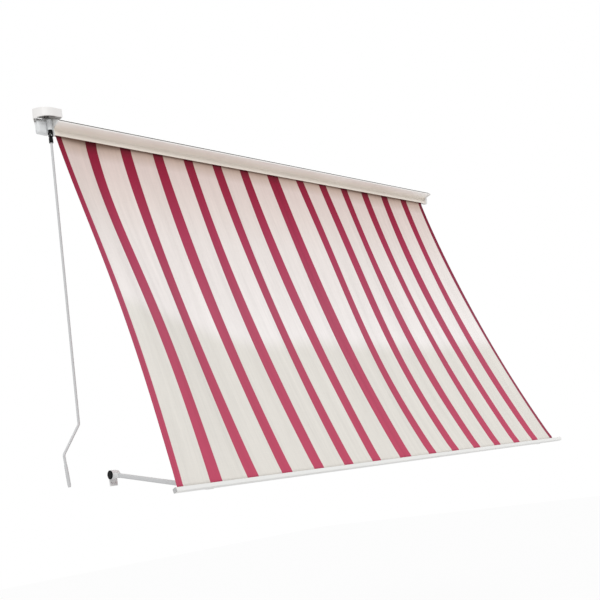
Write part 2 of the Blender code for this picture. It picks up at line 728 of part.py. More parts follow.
def make_worm(axis):
    """The worm with its four threads, and the journals above and below it."""
    mesh = bmesh.new()
    lead = 2 * math.pi * (WHEEL_RADIUS - TOOTH_DEPTH / 2) * WORM_STARTS / WHEEL_TEETH
    rows = 24
    low = -WORM_LENGTH / 2
    journal_top = NECK_ABOVE - GAP
    journal_low = -NECK_BELOW - COLLAR_LENGTH * 0.8
    heights = [low + WORM_LENGTH * r / rows for r in range(rows + 1)]
    rings = [[(0.0, journal_low)], [(JOURNAL_RADIUS, journal_low)], [(JOURNAL_RADIUS, low)]]
    rings += [[(None, z)] for z in heights]
    rings += [[(JOURNAL_RADIUS, -low)], [(JOURNAL_RADIUS, journal_top)], [(0.0, journal_top)]]
    loops = []
    for ((radius, z),) in rings:
        count = 1 if radius == 0.0 else ROUND
        loop = []
        for i in range(count):
            t = 2 * math.pi * i / ROUND
            wave = math.cos(WORM_STARTS * t - 2 * math.pi * WORM_STARTS * z / lead)
            thread = WORM_RADIUS - TOOTH_DEPTH * (0.5 - 0.5 * max(-1.0, min(1.0, 1.8 * wave)))
            r = thread if radius is None else radius
            loop.append(mesh.verts.new((r * math.cos(t), r * math.sin(t), z)))
        loops.append(loop)
    for near, far in zip(loops, loops[1:]):
        for i in range(ROUND):
            j = (i + 1) % ROUND
            corners = (near[i % len(near)], near[j % len(near)], far[j % len(far)], far[i % len(far)])
            unique = list(dict.fromkeys(corners))
            if len(unique) > 2:
                mesh.faces.new(unique)
    solid("worm", mesh, STEEL, axis)


def make_fork(name, axis, up, pins_along, sleeve, hole_radius, hole_depth, colour):
    """Half a universal joint: a collar and two ears with a pin hole each.

    The joint's middle is the axis frame's origin. The collar lies above it, or below.
    """
    sign = 1 if up else -1
    near, far = sorted((sign * FORK_REACH, sign * (FORK_REACH + sleeve)))
    fork = solid(name, cylinder(FORK_RADIUS, near, far, "Z", count=ROUND), colour, axis)
    for i, ear_side in enumerate((-1, 1)):
        outer = ear_side * FORK_RADIUS
        inner = ear_side * (FORK_RADIUS - EAR_THICKNESS)
        a_low, a_high = sorted((outer, inner))
        z_low, z_high = sorted((-sign * (CROSS_PIN_RADIUS + EAR_BEYOND_PIN), sign * (FORK_REACH + 0.001)))
        if pins_along == "X":
            ear = box((a_low, -EAR_HALF_WIDTH, z_low), (a_high, EAR_HALF_WIDTH, z_high))
        else:
            ear = box((-EAR_HALF_WIDTH, a_low, z_low), (EAR_HALF_WIDTH, a_high, z_high))
        boolean(fork, solid(f"{name}_ear_{i + 1}", ear, parent=axis), "UNION")
    pin_hole = cylinder(CROSS_PIN_RADIUS + GAP, -0.02, 0.02, pins_along, count=SMALL_ROUND)
    boolean(fork, solid(f"{name}_pin_hole", pin_hole, parent=axis))
    start, stop = sorted((sign * (FORK_REACH + sleeve + 0.01), sign * (FORK_REACH + sleeve - hole_depth)))
    socket = cylinder(hole_radius, start, stop, "Z", count=SMALL_ROUND)
    boolean(fork, solid(f"{name}_socket", socket, parent=axis))


def make_cross(axis):
    """The universal joint's cross: a block with a pin along X and one along Y."""
    half = CROSS_HALF
    cross = solid("joint_cross", box((-half,) * 3, (half,) * 3), STEEL, axis)
    reach = FORK_RADIUS - 0.0002
    for along in ("X", "Y"):
        pin = cylinder(CROSS_PIN_RADIUS, -reach, reach, along, count=SMALL_ROUND)
        boolean(cross, solid(f"cross_pin_{along}", pin, parent=axis), "UNION")


def crank_path():
    """The crank's centre line in X and Z, from its joint down to the end of its handle."""
    top = -FORK_REACH - 0.004
    bend = top - CRANK_STRAIGHT
    lower_bend = Vector((-CRANK_OFFSET, bend - CRANK_SLANT_DROP))
    along_handle = Vector((math.sin(HANDLE_LEAN), -math.cos(HANDLE_LEAN)))
    corners = [
        Vector((0.0, top)),
        Vector((0.0, bend)),
        lower_bend,
        lower_bend + along_handle * (CRANK_HANDLE - GRIP_LENGTH),
    ]
    points = [corners[0]]
    for before, corner, after in zip(corners, corners[1:], corners[2:]):
        points += rounded_corner(before, corner, after, BEND_RADIUS, 6)
    points.append(corners[-1])
    return points


def make_crank(axis, grip_axis):
    """The bent rod, the turned pin that its grip spins on, and the grip."""
    path = crank_path()
    curve = bpy.data.curves.new("crank_rod", "CURVE")
    curve.dimensions = "3D"
    curve.bevel_depth = ROD_RADIUS
    curve.bevel_resolution = 3
    curve.use_fill_caps = True
    spline = curve.splines.new("POLY")
    spline.points.add(len(path) - 1)
    for point, place in zip(spline.points, path):
        point.co = (place.x, 0.0, place.y, 1.0)
    curve.materials.append(material("crank_rod", *LIGHT_GREY))
    rod = bpy.data.objects.new("crank_rod", curve)
    rod.parent = axis
    bpy.context.scene.collection.objects.link(rod)

    pin_top = 0.0
    pin_low = -GRIP_LENGTH - 0.004
    profile = [
        (0.0, pin_top - GAP),
        (GRIP_PIN_RADIUS, pin_top - GAP),
        (GRIP_PIN_RADIUS, pin_low + 0.003),
        (GRIP_LOW_RADIUS * 0.8, pin_low + 0.003),
        (GRIP_LOW_RADIUS * 0.8, pin_low + 0.001),
        (GRIP_LOW_RADIUS * 0.6, pin_low),
        (0.0, pin_low),
    ]
    solid("grip_pin", turned(profile, "Z", (0.0, 0.0)), STEEL, grip_axis)
    bore = GRIP_PIN_RADIUS + GAP
    low = pin_low + 0.003 + RUNNING_GAP
    high = pin_top - RUNNING_GAP - GAP
    sleeve = bmesh.new()
    stations = [
        (bore, high),
        (GRIP_TOP_RADIUS - 0.001, high),
        (GRIP_TOP_RADIUS, high - 0.003),
        (GRIP_LOW_RADIUS, low + 0.012),
        (GRIP_LOW_RADIUS, low + 0.002),
        (GRIP_LOW_RADIUS - 0.001, low),
        (bore, low),
    ]
    loops = []
    for radius, z in stations:
        loop = []
        for i in range(ROUND):
            t = 2 * math.pi * i / ROUND
            loop.append(sleeve.verts.new((radius * math.cos(t), radius * math.sin(t), z)))
        loops.append(loop)
    for near, far in zip(loops, loops[1:] + loops[:1]):
        for i in range(ROUND):
            j = (i + 1) % ROUND
            sleeve.faces.new((near[i], near[j], far[j], far[i]))
    solid("crank_grip", sleeve, LIGHT_GREY, grip_axis)


def oval_prism(height, width, wall, low, high):
    """A rod of flattened round section along Y, in the arm's frame."""
    mesh = bmesh.new()
    points = oval(height, width, wall)
    near = [mesh.verts.new((x, low, z)) for x, z in points]
    far = [mesh.verts.new((x, high, z)) for x, z in points]
    mesh.faces.new(near)
    mesh.faces.new(reversed(far))
    for i in range(len(points)):
        j = (i + 1) % len(points)
        mesh.faces.new((near[i], far[i], far[j], near[j]))
    return mesh


def make_arm(side, sign, frame):
    """One arm in its own frame, from the wall pivot at the origin to the tip at minus Y."""
    tube_near = -KNUCKLE_LENGTH - GAP
    tube_far = -ARM_LENGTH + TIP_LENGTH + GAP
    tube = solid(
        f"{side}_arm_tube",
        oval_prism(ARM_HEIGHT, ARM_WIDTH, 0.0, tube_far, tube_near),
        LIGHT_GREY,
        frame,
    )
    hollow = oval_prism(ARM_HEIGHT, ARM_WIDTH, ARM_WALL, tube_far - 0.01, tube_near + 0.01)
    boolean(tube, solid(f"{side}_tube_hollow", hollow, parent=frame))

    half = KNUCKLE_WIDTH / 2
    knuckle = solid(
        f"{side}_arm_knuckle", cylinder(KNUCKLE_RADIUS, -half, half, "X"), CAST_GREY, frame
    )
    neck = oval_prism(ARM_HEIGHT + 0.002, ARM_WIDTH + 0.002, 0.0, -KNUCKLE_LENGTH, -0.004)
    spigot = oval_prism(
        ARM_HEIGHT, ARM_WIDTH, ARM_WALL + GAP, -KNUCKLE_LENGTH - SPIGOT_LENGTH,
        -KNUCKLE_LENGTH + 0.002,
    )
    boolean(knuckle, solid(f"{side}_knuckle_neck", neck, parent=frame), "UNION")
    boolean(knuckle, solid(f"{side}_knuckle_spigot", spigot, parent=frame), "UNION")
    hole = cylinder(PIVOT_PIN_RADIUS + GAP, -0.05, 0.05, "X", count=SMALL_ROUND)
    boolean(knuckle, solid(f"{side}_knuckle_hole", hole, parent=frame))

    eye = solid(
        f"{side}_arm_tip",
        cylinder(EYE_RADIUS, -EYE_WIDTH / 2, EYE_WIDTH / 2, "X", (-ARM_LENGTH, 0.0)),
        CREAM,
        frame,
    )
    body = oval_prism(
        2 * EYE_RADIUS - 0.001, EYE_WIDTH - 0.001, 0.0, -ARM_LENGTH + 0.002,
        -ARM_LENGTH + TIP_LENGTH,
    )
    plug = oval_prism(
        ARM_HEIGHT, ARM_WIDTH, ARM_WALL + GAP, -ARM_LENGTH + TIP_LENGTH - 0.002,
        -ARM_LENGTH + TIP_LENGTH + SPIGOT_LENGTH,
    )
    boolean(eye, solid(f"{side}_tip_body", body, parent=frame), "UNION")
    boolean(eye, solid(f"{side}_tip_plug", plug, parent=frame), "UNION")
    tip_hole = cylinder(
        TIP_PIN_RADIUS + GAP, -0.03, 0.03, "X", (-ARM_LENGTH, 0.0), SMALL_ROUND
    )
    boolean(eye, solid(f"{side}_tip_hole", tip_hole, parent=frame))


def make_arm_bracket(side, sign, frame):
    """The wall plate and lug of one arm, its pivot pin, the pin's cap and two screws.

    The lug stands on the side towards the awning's middle, and the cap on the outer side.
    """
    inner = -sign
    knuckle_half = KNUCKLE_WIDTH / 2
    lug_near = inner * (knuckle_half + GAP)
    lug_far = inner * (knuckle_half + GAP + LUG_WIDTH)
    middle = inner * 0.015
    plate = solid(
        f"{side}_arm_bracket",
        box(
            (middle - PLATE_WIDTH / 2, PIVOT_OUT - PLATE_THICKNESS, -PLATE_BELOW),
            (middle + PLATE_WIDTH / 2, PIVOT_OUT, PLATE_ABOVE),
        ),
        CAST_GREY,
        frame,
        bevel=0.0008,
    )
    low, high = sorted((lug_near, lug_far))
    lug_outline = [(PIVOT_OUT - 0.002, -0.016), (PIVOT_OUT - 0.002, 0.016)]
    lug_outline += circle(KNUCKLE_RADIUS - 0.001, 17, start=math.pi / 2 * 0.9)[:9]
    lug = prism(lug_outline, low, high)
    boolean(plate, solid(f"{side}_bracket_lug", lug, parent=frame), "UNION")
    hole = cylinder(PIVOT_PIN_RADIUS + GAP, -0.05, 0.05, "X", count=SMALL_ROUND)
    boolean(plate, solid(f"{side}_bracket_hole", hole, parent=frame))

    pin_outer = sign * (knuckle_half + GAP)
    pin_inner = inner * (knuckle_half + GAP + LUG_WIDTH + GAP)
    head = inner * (knuckle_half + GAP + LUG_WIDTH + GAP + 0.003)
    profile = [
        (0.0, pin_outer),
        (PIVOT_PIN_RADIUS, pin_outer),
        (PIVOT_PIN_RADIUS, pin_inner),
        (PIVOT_PIN_RADIUS + 0.003, pin_inner),
        (PIVOT_PIN_RADIUS + 0.003, head),
        (0.0, head),
    ]
    solid(f"{side}_pivot_pin", turned(profile, "X", (0.0, 0.0)), STEEL, frame)
    cap_near = sign * (knuckle_half + 2 * GAP)
    cap_far = cap_near + sign * PIVOT_CAP_THICKNESS
    cap_profile = [
        (0.0, cap_near),
        (PIVOT_CAP_RADIUS, cap_near),
        (PIVOT_CAP_RADIUS, cap_far - sign * 0.002),
        (PIVOT_CAP_RADIUS - 0.003, cap_far),
        (0.0, cap_far),
    ]
    solid(f"{side}_pivot_cap", turned(cap_profile, "X", (0.0, 0.0), ROUND), BLACK, frame)

    for i, x in enumerate((middle - 0.009, middle + 0.009)):
        z = -PLATE_BELOW + 0.010
        cut = cylinder(SCREW_SHANK_RADIUS + GAP, 0.0, 0.05, "Y", (x, z), SMALL_ROUND)
        boolean(plate, solid(f"{side}_plate_hole_{i + 1}", cut, parent=frame))
        back = empty(f"{side}_arm_screw_frame_{i + 1}", (0.0, PIVOT_OUT, 0.0), parent=frame)
        make_screw(f"{side}_arm_screw_{i + 1}", back, x, z, 0.0, PLATE_THICKNESS)


def make_bar(axis):
    """The front bar, its slot for the hem, its two end caps and the rod in the cloth's hem."""
    left = -CLOTH_HALF - BAR_LEFT_OVERHANG
    right = CLOTH_HALF + BAR_RIGHT_OVERHANG
    back = -PIVOT_BEHIND_BAR
    front = back - BAR_DEPTH
    low = -BAR_DROP - BAR_HEIGHT / 2
    high = low + BAR_HEIGHT
    soft = 0.003
    rim = []
    corners = [(back, low), (front, low), (front, high), (back, high)]
    for i, corner in enumerate(corners):
        rim += rounded_corner(corners[i - 1], corner, corners[(i + 1) % 4], soft, 3)
    bar = solid("front_bar", prism([tuple(p) for p in rim], left, right), WHITE, axis)
    room = [
        (back - BAR_WALL, low + BAR_WALL),
        (front + BAR_WALL, low + BAR_WALL),
        (front + BAR_WALL, SLOT_Z - SLOT_RADIUS - BAR_WALL),
        (back - BAR_WALL, SLOT_Z - SLOT_RADIUS - BAR_WALL),
    ]
    boolean(bar, solid("bar_room", prism(room, left - 0.01, right + 0.01), parent=axis))
    slot = cylinder(SLOT_RADIUS, left - 0.01, right + 0.01, "X", (SLOT_Y, SLOT_Z), SMALL_ROUND)
    boolean(bar, solid("bar_slot", slot, parent=axis))
    mouth = box(
        (left - 0.01, SLOT_Y - SLOT_MOUTH / 2, SLOT_Z),
        (right + 0.01, SLOT_Y + SLOT_MOUTH / 2, high + 0.01),
    )
    boolean(bar, solid("bar_mouth", mouth, parent=axis))
    rod = cylinder(HEM_ROD_RADIUS, left + GAP, right - GAP, "X", (SLOT_Y, SLOT_Z), SMALL_ROUND)
    solid("hem_rod", rod, DARK_GREY, axis)

    for side, end, sign in (("left", left, -1), ("right", right, 1)):
        near, far = sorted((end + sign * GAP, end + sign * (GAP + BAR_CAP_THICKNESS)))
        cap = solid(
            f"bar_cap_{side}",
            prism([tuple(p) for p in rim], near, far),
            DARK_GREY if side == "left" else WHITE,
            axis,
        )
        middle = (room[0][1] + room[2][1]) / 2
        tongue = [
            (y - math.copysign(GAP, y - SLOT_Y), z - math.copysign(GAP, z - middle))
            for y, z in room
        ]
        plug_from, plug_to = sorted((end + sign * 0.002, end - sign * 0.012))
        boolean(
            cap, solid(f"bar_cap_plug_{side}", prism(tongue, plug_from, plug_to), parent=axis),
            "UNION",
        )


def make_clamp(side, axis, x):
    """The clamp that carries the bar on one arm's tip: a base and two ears, with its pin."""
    half = EYE_WIDTH / 2
    base_front = -PIVOT_BEHIND_BAR + GAP
    low = -BAR_DROP - CLAMP_HEIGHT / 2
    ear_out = half + GAP + CLAMP_EAR
    clamp = solid(
        f"{side}_bar_clamp",
        box(
            (x - ear_out - 0.004, base_front, low),
            (x + ear_out + 0.004, base_front + CLAMP_BASE, low + CLAMP_HEIGHT),
        ),
        WHITE,
        axis,
    )
    for i, sign in enumerate((-1, 1)):
        near, far = sorted((x + sign * (half + GAP), x + sign * ear_out))
        outline = [(base_front + 0.001, low + 0.001)]
        outline += circle(EAR_RADIUS, 16, start=math.pi / 2)[8:]
        outline += [(0.0, EAR_RADIUS), (base_front + 0.001, low + CLAMP_HEIGHT - 0.001)]
        ear = prism(outline, near, far)
        boolean(clamp, solid(f"{side}_clamp_ear_{i + 1}", ear, parent=axis), "UNION")
    hole = cylinder(TIP_PIN_RADIUS + GAP, x - 0.05, x + 0.05, "X", count=SMALL_ROUND)
    boolean(clamp, solid(f"{side}_clamp_hole", hole, parent=axis))
    head = 0.0025
    profile = [
        (0.0, x - ear_out - GAP - head),
        (TIP_PIN_RADIUS + 0.002, x - ear_out - GAP - head),
        (TIP_PIN_RADIUS + 0.002, x - ear_out - GAP),
        (TIP_PIN_RADIUS, x - ear_out - GAP),
        (TIP_PIN_RADIUS, x + ear_out + 0.001),
        (0.0, x + ear_out + 0.001),
    ]
    solid(f"{side}_tip_pin", turned(profile, "X", (0.0, 0.0)), STEEL, axis)


def main():
    clear_scene()
    wall = empty("wall_frame", (0.0, 0.0, 0.0))
    roller_axis = empty("roller_axis", (0.0, -ROLLER_OUT, -ROLLER_DROP), parent=wall)
    worm_axis = empty("worm_axis", (GEAR_X, -WORM_OUT, -ROLLER_DROP), parent=wall)
    joint_axis = empty("joint_axis", (GEAR_X, -WORM_OUT, JOINT_Z), parent=wall)
    handle_end = crank_path()[-1]
    grip_place = (handle_end.x, 0.0, handle_end.y)
    grip_axis = empty("grip_axis", grip_place, (0.0, -HANDLE_LEAN, 0.0), joint_axis)
    bar_axis = empty("bar_axis", (0.0, TIP_Y, TIP_Z), (-CLOTH_LEAN, 0.0, 0.0), wall)

    make_rail(wall)
    make_hood(wall)
    make_brackets(wall)
    make_casing(wall)
    make_caps(wall)
    make_cloth(wall)
    make_roller(roller_axis)
    make_wheel(roller_axis)
    make_worm(worm_axis)
    journal_hole = JOURNAL_RADIUS + GAP
    hole_depth = COLLAR_LENGTH * 0.8 + RUNNING_GAP
    make_fork("drive_fork", joint_axis, True, "X", COLLAR_LENGTH, journal_hole, hole_depth, BLACK)
    make_cross(joint_axis)
    rod_hole = ROD_RADIUS + GAP
    make_fork("crank_fork", joint_axis, False, "Y", 0.018, rod_hole, 0.0145, BLACK)
    make_crank(joint_axis, grip_axis)
    for side, sign in (("left", -1), ("right", 1)):
        pivot = (sign * ARM_PLANE, -PIVOT_OUT, -PIVOT_DROP)
        bracket_frame = empty(f"{side}_pivot_frame", pivot, parent=wall)
        arm_axis = empty(f"{side}_arm_axis", pivot, (ARM_REST_ANGLE, 0.0, 0.0), wall)
        make_arm_bracket(side, sign, bracket_frame)
        make_arm(side, sign, arm_axis)
        make_clamp(side, bar_axis, sign * ARM_PLANE)
    make_bar(bar_axis)


main()
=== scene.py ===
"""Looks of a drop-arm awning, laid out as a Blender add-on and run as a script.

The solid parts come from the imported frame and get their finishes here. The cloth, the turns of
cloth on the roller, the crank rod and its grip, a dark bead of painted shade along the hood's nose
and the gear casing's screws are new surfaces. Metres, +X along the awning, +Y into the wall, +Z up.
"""

import json
import math

import bpy
import numpy as np
from mathutils import Matrix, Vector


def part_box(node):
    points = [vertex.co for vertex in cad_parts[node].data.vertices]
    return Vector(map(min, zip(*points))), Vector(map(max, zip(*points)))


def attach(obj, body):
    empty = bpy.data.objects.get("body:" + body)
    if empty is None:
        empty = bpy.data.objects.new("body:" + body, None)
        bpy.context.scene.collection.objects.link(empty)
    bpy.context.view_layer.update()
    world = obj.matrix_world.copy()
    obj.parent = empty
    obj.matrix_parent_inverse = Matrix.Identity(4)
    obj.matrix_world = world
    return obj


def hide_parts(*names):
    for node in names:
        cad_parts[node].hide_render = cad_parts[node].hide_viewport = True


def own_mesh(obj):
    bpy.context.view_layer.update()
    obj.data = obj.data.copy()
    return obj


bl_info = {
    "name": "Drop-Arm Awning",
    "version": (1, 0, 0),
    "blender": (4, 5, 0),
    "location": "3D View > Sidebar > Awning",
    "description": "Striped cloth, crank, trim and finishes of a drop-arm awning",
    "category": "Add Mesh",
}

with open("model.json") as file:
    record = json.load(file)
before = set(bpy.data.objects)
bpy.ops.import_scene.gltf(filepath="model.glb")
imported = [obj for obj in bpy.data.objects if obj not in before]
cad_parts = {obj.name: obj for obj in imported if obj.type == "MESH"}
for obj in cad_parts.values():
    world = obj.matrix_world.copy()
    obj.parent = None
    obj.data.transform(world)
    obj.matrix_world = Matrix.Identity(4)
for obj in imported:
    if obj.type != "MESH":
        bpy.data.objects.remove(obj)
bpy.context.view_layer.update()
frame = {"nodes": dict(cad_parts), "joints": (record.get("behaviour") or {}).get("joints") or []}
JOINTS = {joint["name"]: joint for joint in frame["joints"]}
ROLLER = np.array(JOINTS["roller_turn"]["pos_m"])
ARM_TIP = np.array(JOINTS["bar_tilt"]["pos_m"])
CRANK_JOINT = np.array(JOINTS["crank_turn"]["pos_m"])
GRIP_PLACE = np.array(JOINTS["grip_spin"]["pos_m"])
GRIP_LINE = np.array(JOINTS["grip_spin"]["axis"])

# Bottom of the bar's slot, measured from the arm's tip in the bar's leaning frame
SLOT_BEHIND = 0.0245
SLOT_ABOVE = -0.0035
# The hem ends this far above the bottom of the slot
HEM_CLEARANCE = 0.0029
# From the roll's surface to the middle of the free cloth's thickness
CLOTH_OFF_ROLL = 0.0007
# Radius of the hole in the turns of cloth
ROLL_BORE = 0.0253

# Shares of the cloth's length that lie straight at the roll and at the bar
STRAIGHT_AT_ROLL = 0.06
STRAIGHT_AT_BAR = 0.03
# How far the side edges' own sag and waist reach in, and the right half's further sag builds up
EDGE_REACH = 0.20
RIGHT_REACH = 0.75
# Place and breadth of the two long waves, from the middle of the cloth
EDGE_WAVE_X, EDGE_WAVE_BREADTH = -1.04, 0.16
MIDDLE_WAVE_X, MIDDLE_WAVE_BREADTH = 0.28, 0.25

STRIPE_UV = "cloth"
# Flat length of the free cloth, over which its colours change
CLOTH_LENGTH = 1.64
# Distance of one thread from the next of the same direction
THREAD_PITCH = 0.0011
STITCH_LENGTH = 0.0045


def linear(red, green, blue):
    """A colour seen on a screen, in steps of 255, as the light values that shaders use."""
    seen = np.array([red, green, blue]) / 255.0
    light = np.where(seen <= 0.04045, seen / 12.92, ((seen + 0.055) / 1.055) ** 2.4)
    return tuple(float(v) for v in light)


class AwningSizes(bpy.types.PropertyGroup):
    """Sizes that a user may change before the pieces are built."""

    cloth_width: bpy.props.FloatProperty(
        name="Cloth Width", description="Flat width of the cloth", default=2.388, unit="LENGTH"
    )
    cloth_thickness: bpy.props.FloatProperty(
        name="Cloth Thickness", description="Thickness of the cloth", default=0.0007,
        unit="LENGTH", precision=4,
    )
    stripe_pitch: bpy.props.FloatProperty(
        name="Stripe Pitch", description="Distance from one red stripe to the next",
        default=0.168, unit="LENGTH",
    )
    stripe_start: bpy.props.FloatProperty(
        name="Stripe Start", description="How far the pattern is pushed out from the seam",
        default=0.0189, unit="LENGTH",
    )
    stripe_width: bpy.props.FloatProperty(
        name="Stripe Width", description="Width of a red stripe", default=0.053, unit="LENGTH"
    )
    seam_stripe_width: bpy.props.FloatProperty(
        name="Seam Stripe Width", description="Width of the red stripe over the middle seam",
        default=0.075, unit="LENGTH",
    )
    sag_middle: bpy.props.FloatProperty(
        name="Sag in the Middle", description="How far the cloth hangs in towards the wall",
        default=0.042, unit="LENGTH",
    )
    sag_edge: bpy.props.FloatProperty(
        name="Sag at the Edges", description="The same, at the side edges", default=0.018,
        unit="LENGTH",
    )
    waist: bpy.props.FloatProperty(
        name="Waist", description="How far each side edge draws in halfway down",
        default=0.032, unit="LENGTH",
    )
    sag_right: bpy.props.FloatProperty(
        name="More Sag on the Right", description="Added to the sag towards the right edge",
        default=0.018, unit="LENGTH",
    )
    edge_wave: bpy.props.FloatProperty(
        name="Edge Wave", description="Height of the long wave beside the left edge",
        default=0.023, unit="LENGTH",
    )
    middle_wave: bpy.props.FloatProperty(
        name="Middle Wave", description="Height of the long wave right of the middle",
        default=0.013, unit="LENGTH",
    )
    roll_radius: bpy.props.FloatProperty(
        name="Roll Radius", description="Outside radius of the cloth on the roller",
        default=0.0285, unit="LENGTH", precision=4,
    )
    rod_radius: bpy.props.FloatProperty(
        name="Rod Radius", description="Radius of the crank rod", default=0.005, unit="LENGTH",
        precision=4,
    )
    rod_straight: bpy.props.FloatProperty(
        name="Rod Length", description="Straight part of the crank above its bends",
        default=1.153, unit="LENGTH",
    )
    rod_handle: bpy.props.FloatProperty(
        name="Handle Above the Sleeve", description="Rod from the lower bend to the sleeve",
        default=0.033, unit="LENGTH",
    )
    rod_bend: bpy.props.FloatProperty(
        name="Bend Radius", description="Radius of the crank's bends", default=0.02,
        unit="LENGTH",
    )
    grip_radius: bpy.props.FloatProperty(
        name="Grip Radius", description="Largest radius of the crank's sleeve",
        default=0.0068, unit="LENGTH", precision=4,
    )


def colour_property(name, description, seen):
    """A colour that a user may change, given as it looks on a screen."""
    return bpy.props.FloatVectorProperty(
        name=name, description=description, subtype="COLOR", size=3, min=0.0, max=1.0,
        default=linear(*seen),
    )


class AwningColours(bpy.types.PropertyGroup):
    """Colours that a user may change before the pieces are built."""

    red: colour_property("Red Stripe", "Colour of the red stripes at the bar", (197, 80, 107))
    pale: colour_property("Pale Stripe", "The cloth between the stripes", (233, 229, 222))
    cream: colour_property("Cream Coat", "Coat of the hood and rail", (239, 231, 221))
    white: colour_property("White Coat", "Coat of the front bar and brackets", (238, 238, 236))
    moulded: colour_property("White Plastic", "The moulded end caps", (240, 238, 236))
    casing: colour_property("Casing Grey", "Gear casing", (228, 230, 231))
    grey: colour_property("Grey Coat", "Arms and crank rod", (200, 201, 202))
    cast: colour_property("Cast Grey", "Arm brackets and knuckles", (222, 222, 222))
    bar_end: colour_property("Bar Cap Grey", "Left cap of the front bar", (186, 186, 186))
    black: colour_property("Black Plastic", "Universal joint and pivot caps", (9, 9, 10))
    dark: colour_property("Dark Grey Plastic", "Roller plugs and hem rod", (92, 92, 94))


def sizes():
    return bpy.context.scene.awning_sizes


def colours():
    return bpy.context.scene.awning_colours


# Materials


class Wire:
    """A shader socket that takes part in sums. Each sum adds a Math node."""

    def __init__(self, finish, socket):
        self.finish = finish
        self.socket = socket

    def maths(self, operation, *values):
        """This socket and further values through one Math node."""
        sockets = dict(enumerate((self, *values)))
        return self.finish.node("ShaderNodeMath", {"operation": operation}, sockets)

    def __add__(self, other):
        return self.maths("ADD", other)

    __radd__ = __add__

    def __mul__(self, other):
        return self.maths("MULTIPLY", other)

    __rmul__ = __mul__

    def __sub__(self, other):
        return self.maths("SUBTRACT", other)

    def __rsub__(self, other):
        return self.finish.node("ShaderNodeMath", {"operation": "SUBTRACT"}, {0: other, 1: self})

    def __truediv__(self, other):
        return self.maths("DIVIDE", other)

    def __abs__(self):
        return self.maths("ABSOLUTE")


class Finish:
    """A material in the making, around one Principled shader."""

    def __init__(self, name, metallic=0.0, coat=0.0):
        self.material = bpy.data.materials.new(name)
        self.material.use_nodes = True
        self.tree = self.material.node_tree
        self.shader = self.tree.nodes["Principled BSDF"]
        self.set("Metallic", metallic)
        self.set("Coat Weight", coat)

    def node(self, kind, settings=None, sockets=None, out=0):
        """Adds a node. Settings come first, then the values or links of its sockets."""
        node = self.tree.nodes.new(kind)
        for name, value in (settings or {}).items():
            if name == "stops":
                while len(node.color_ramp.elements) < len(value):
                    node.color_ramp.elements.new(0.5)
                for element, (place, colour) in zip(node.color_ramp.elements, value):
                    element.position = place
                    element.color = (*colour, 1.0)
            else:
                setattr(node, name, value)
        for name, value in (sockets or {}).items():
            self.plug(node.inputs[name], value)
        return Wire(self, node.outputs[out])

    def plug(self, socket, value):
        """Links a wire into a socket, or sets the socket's value."""
        if isinstance(value, Wire):
            self.tree.links.new(value.socket, socket)
        elif hasattr(value, "__len__") and len(value) == 3 and socket.type == "RGBA":
            socket.default_value = (*value, 1.0)
        else:
            socket.default_value = value

    def set(self, name, value):
        self.plug(self.shader.inputs[name], value)

    def place(self):
        """Object coordinates, in metres."""
        return self.node("ShaderNodeTexCoord", out="Object")

    def stretched(self, vector, scale):
        """Coordinates multiplied by a scale for each axis."""
        return self.node("ShaderNodeMapping", sockets={"Vector": vector, "Scale": scale})

    def noise(self, vector, scale, detail=2.0, roughness=0.5):
        sockets = {"Vector": vector, "Scale": scale, "Detail": detail, "Roughness": roughness}
        return self.node("ShaderNodeTexNoise", sockets=sockets)

    def ramp(self, value, low, high, to_low=0.0, to_high=1.0):
        """A smooth step from one value to another."""
        sockets = {
            "Value": value, "From Min": low, "From Max": high, "To Min": to_low,
            "To Max": to_high,
        }
        return self.node("ShaderNodeMapRange", {"interpolation_type": "SMOOTHSTEP"}, sockets)

    def mix(self, factor, first, second, blend="MIX"):
        """Two colours mixed by a factor."""
        settings = {"data_type": "RGBA", "blend_type": blend}
        return self.node("ShaderNodeMix", settings, {0: factor, 6: first, 7: second}, 2)

    def shade(self, colour, factor):
        """A colour made lighter or darker by a factor around 1."""
        grey = self.node("ShaderNodeCombineColor", sockets={0: factor, 1: factor, 2: factor})
        return self.mix(1.0, colour, grey, "MULTIPLY")

    def bump(self, height, strength, distance):
        sockets = {"Height": height, "Strength": strength, "Distance": distance}
        self.set("Normal", self.node("ShaderNodeBump", sockets=sockets))


def coated_metal(name, colour, along=(1.0, 12.0, 12.0), roughness=0.36):
    """Powder coat: faint orange peel, slow colour drift and a little dust drawn lengthwise."""
    finish = Finish(name, coat=0.12)
    place = finish.place()
    drift = finish.noise(place, 3.0, 3.0)
    dust = finish.noise(finish.stretched(place, along), 6.0, 4.0, 0.6)
    level = 0.95 + 0.06 * drift + 0.04 * dust
    finish.set("Base Color", finish.shade(colour, level))
    finish.set("Roughness", roughness - 0.06 + 0.16 * dust)
    peel = finish.noise(place, 850.0, 2.0)
    finish.bump(peel, 0.18, 0.0002)
    return finish.material


def hood_coat(name, colour):
    """The same coat, glossier along the nose, with a painted highlight there for the sky's light.
    """
    finish = Finish(name, coat=0.2)
    place = finish.place()
    height = finish.node("ShaderNodeSeparateXYZ", sockets={0: place}, out=2)
    drift = finish.noise(place, 3.0, 3.0)
    dust = finish.noise(finish.stretched(place, (1.0, 12.0, 12.0)), 6.0, 4.0, 0.6)
    lowest, highest = -0.038, -0.024
    # Painted highlight: towards the nose the coat's colour is mixed with near-white
    nose = finish.ramp(height + 0.012 * drift, lowest, highest)
    level = 0.95 + 0.06 * drift + 0.04 * dust
    painted_highlight_colour = finish.mix(nose, colour, linear(255, 252, 248))
    finish.set("Base Color", finish.shade(painted_highlight_colour, level))
    finish.set("Roughness", 0.42 - 0.2 * nose + 0.12 * dust)
    finish.bump(finish.noise(place, 850.0, 2.0), 0.18, 0.0002)
    return finish.material


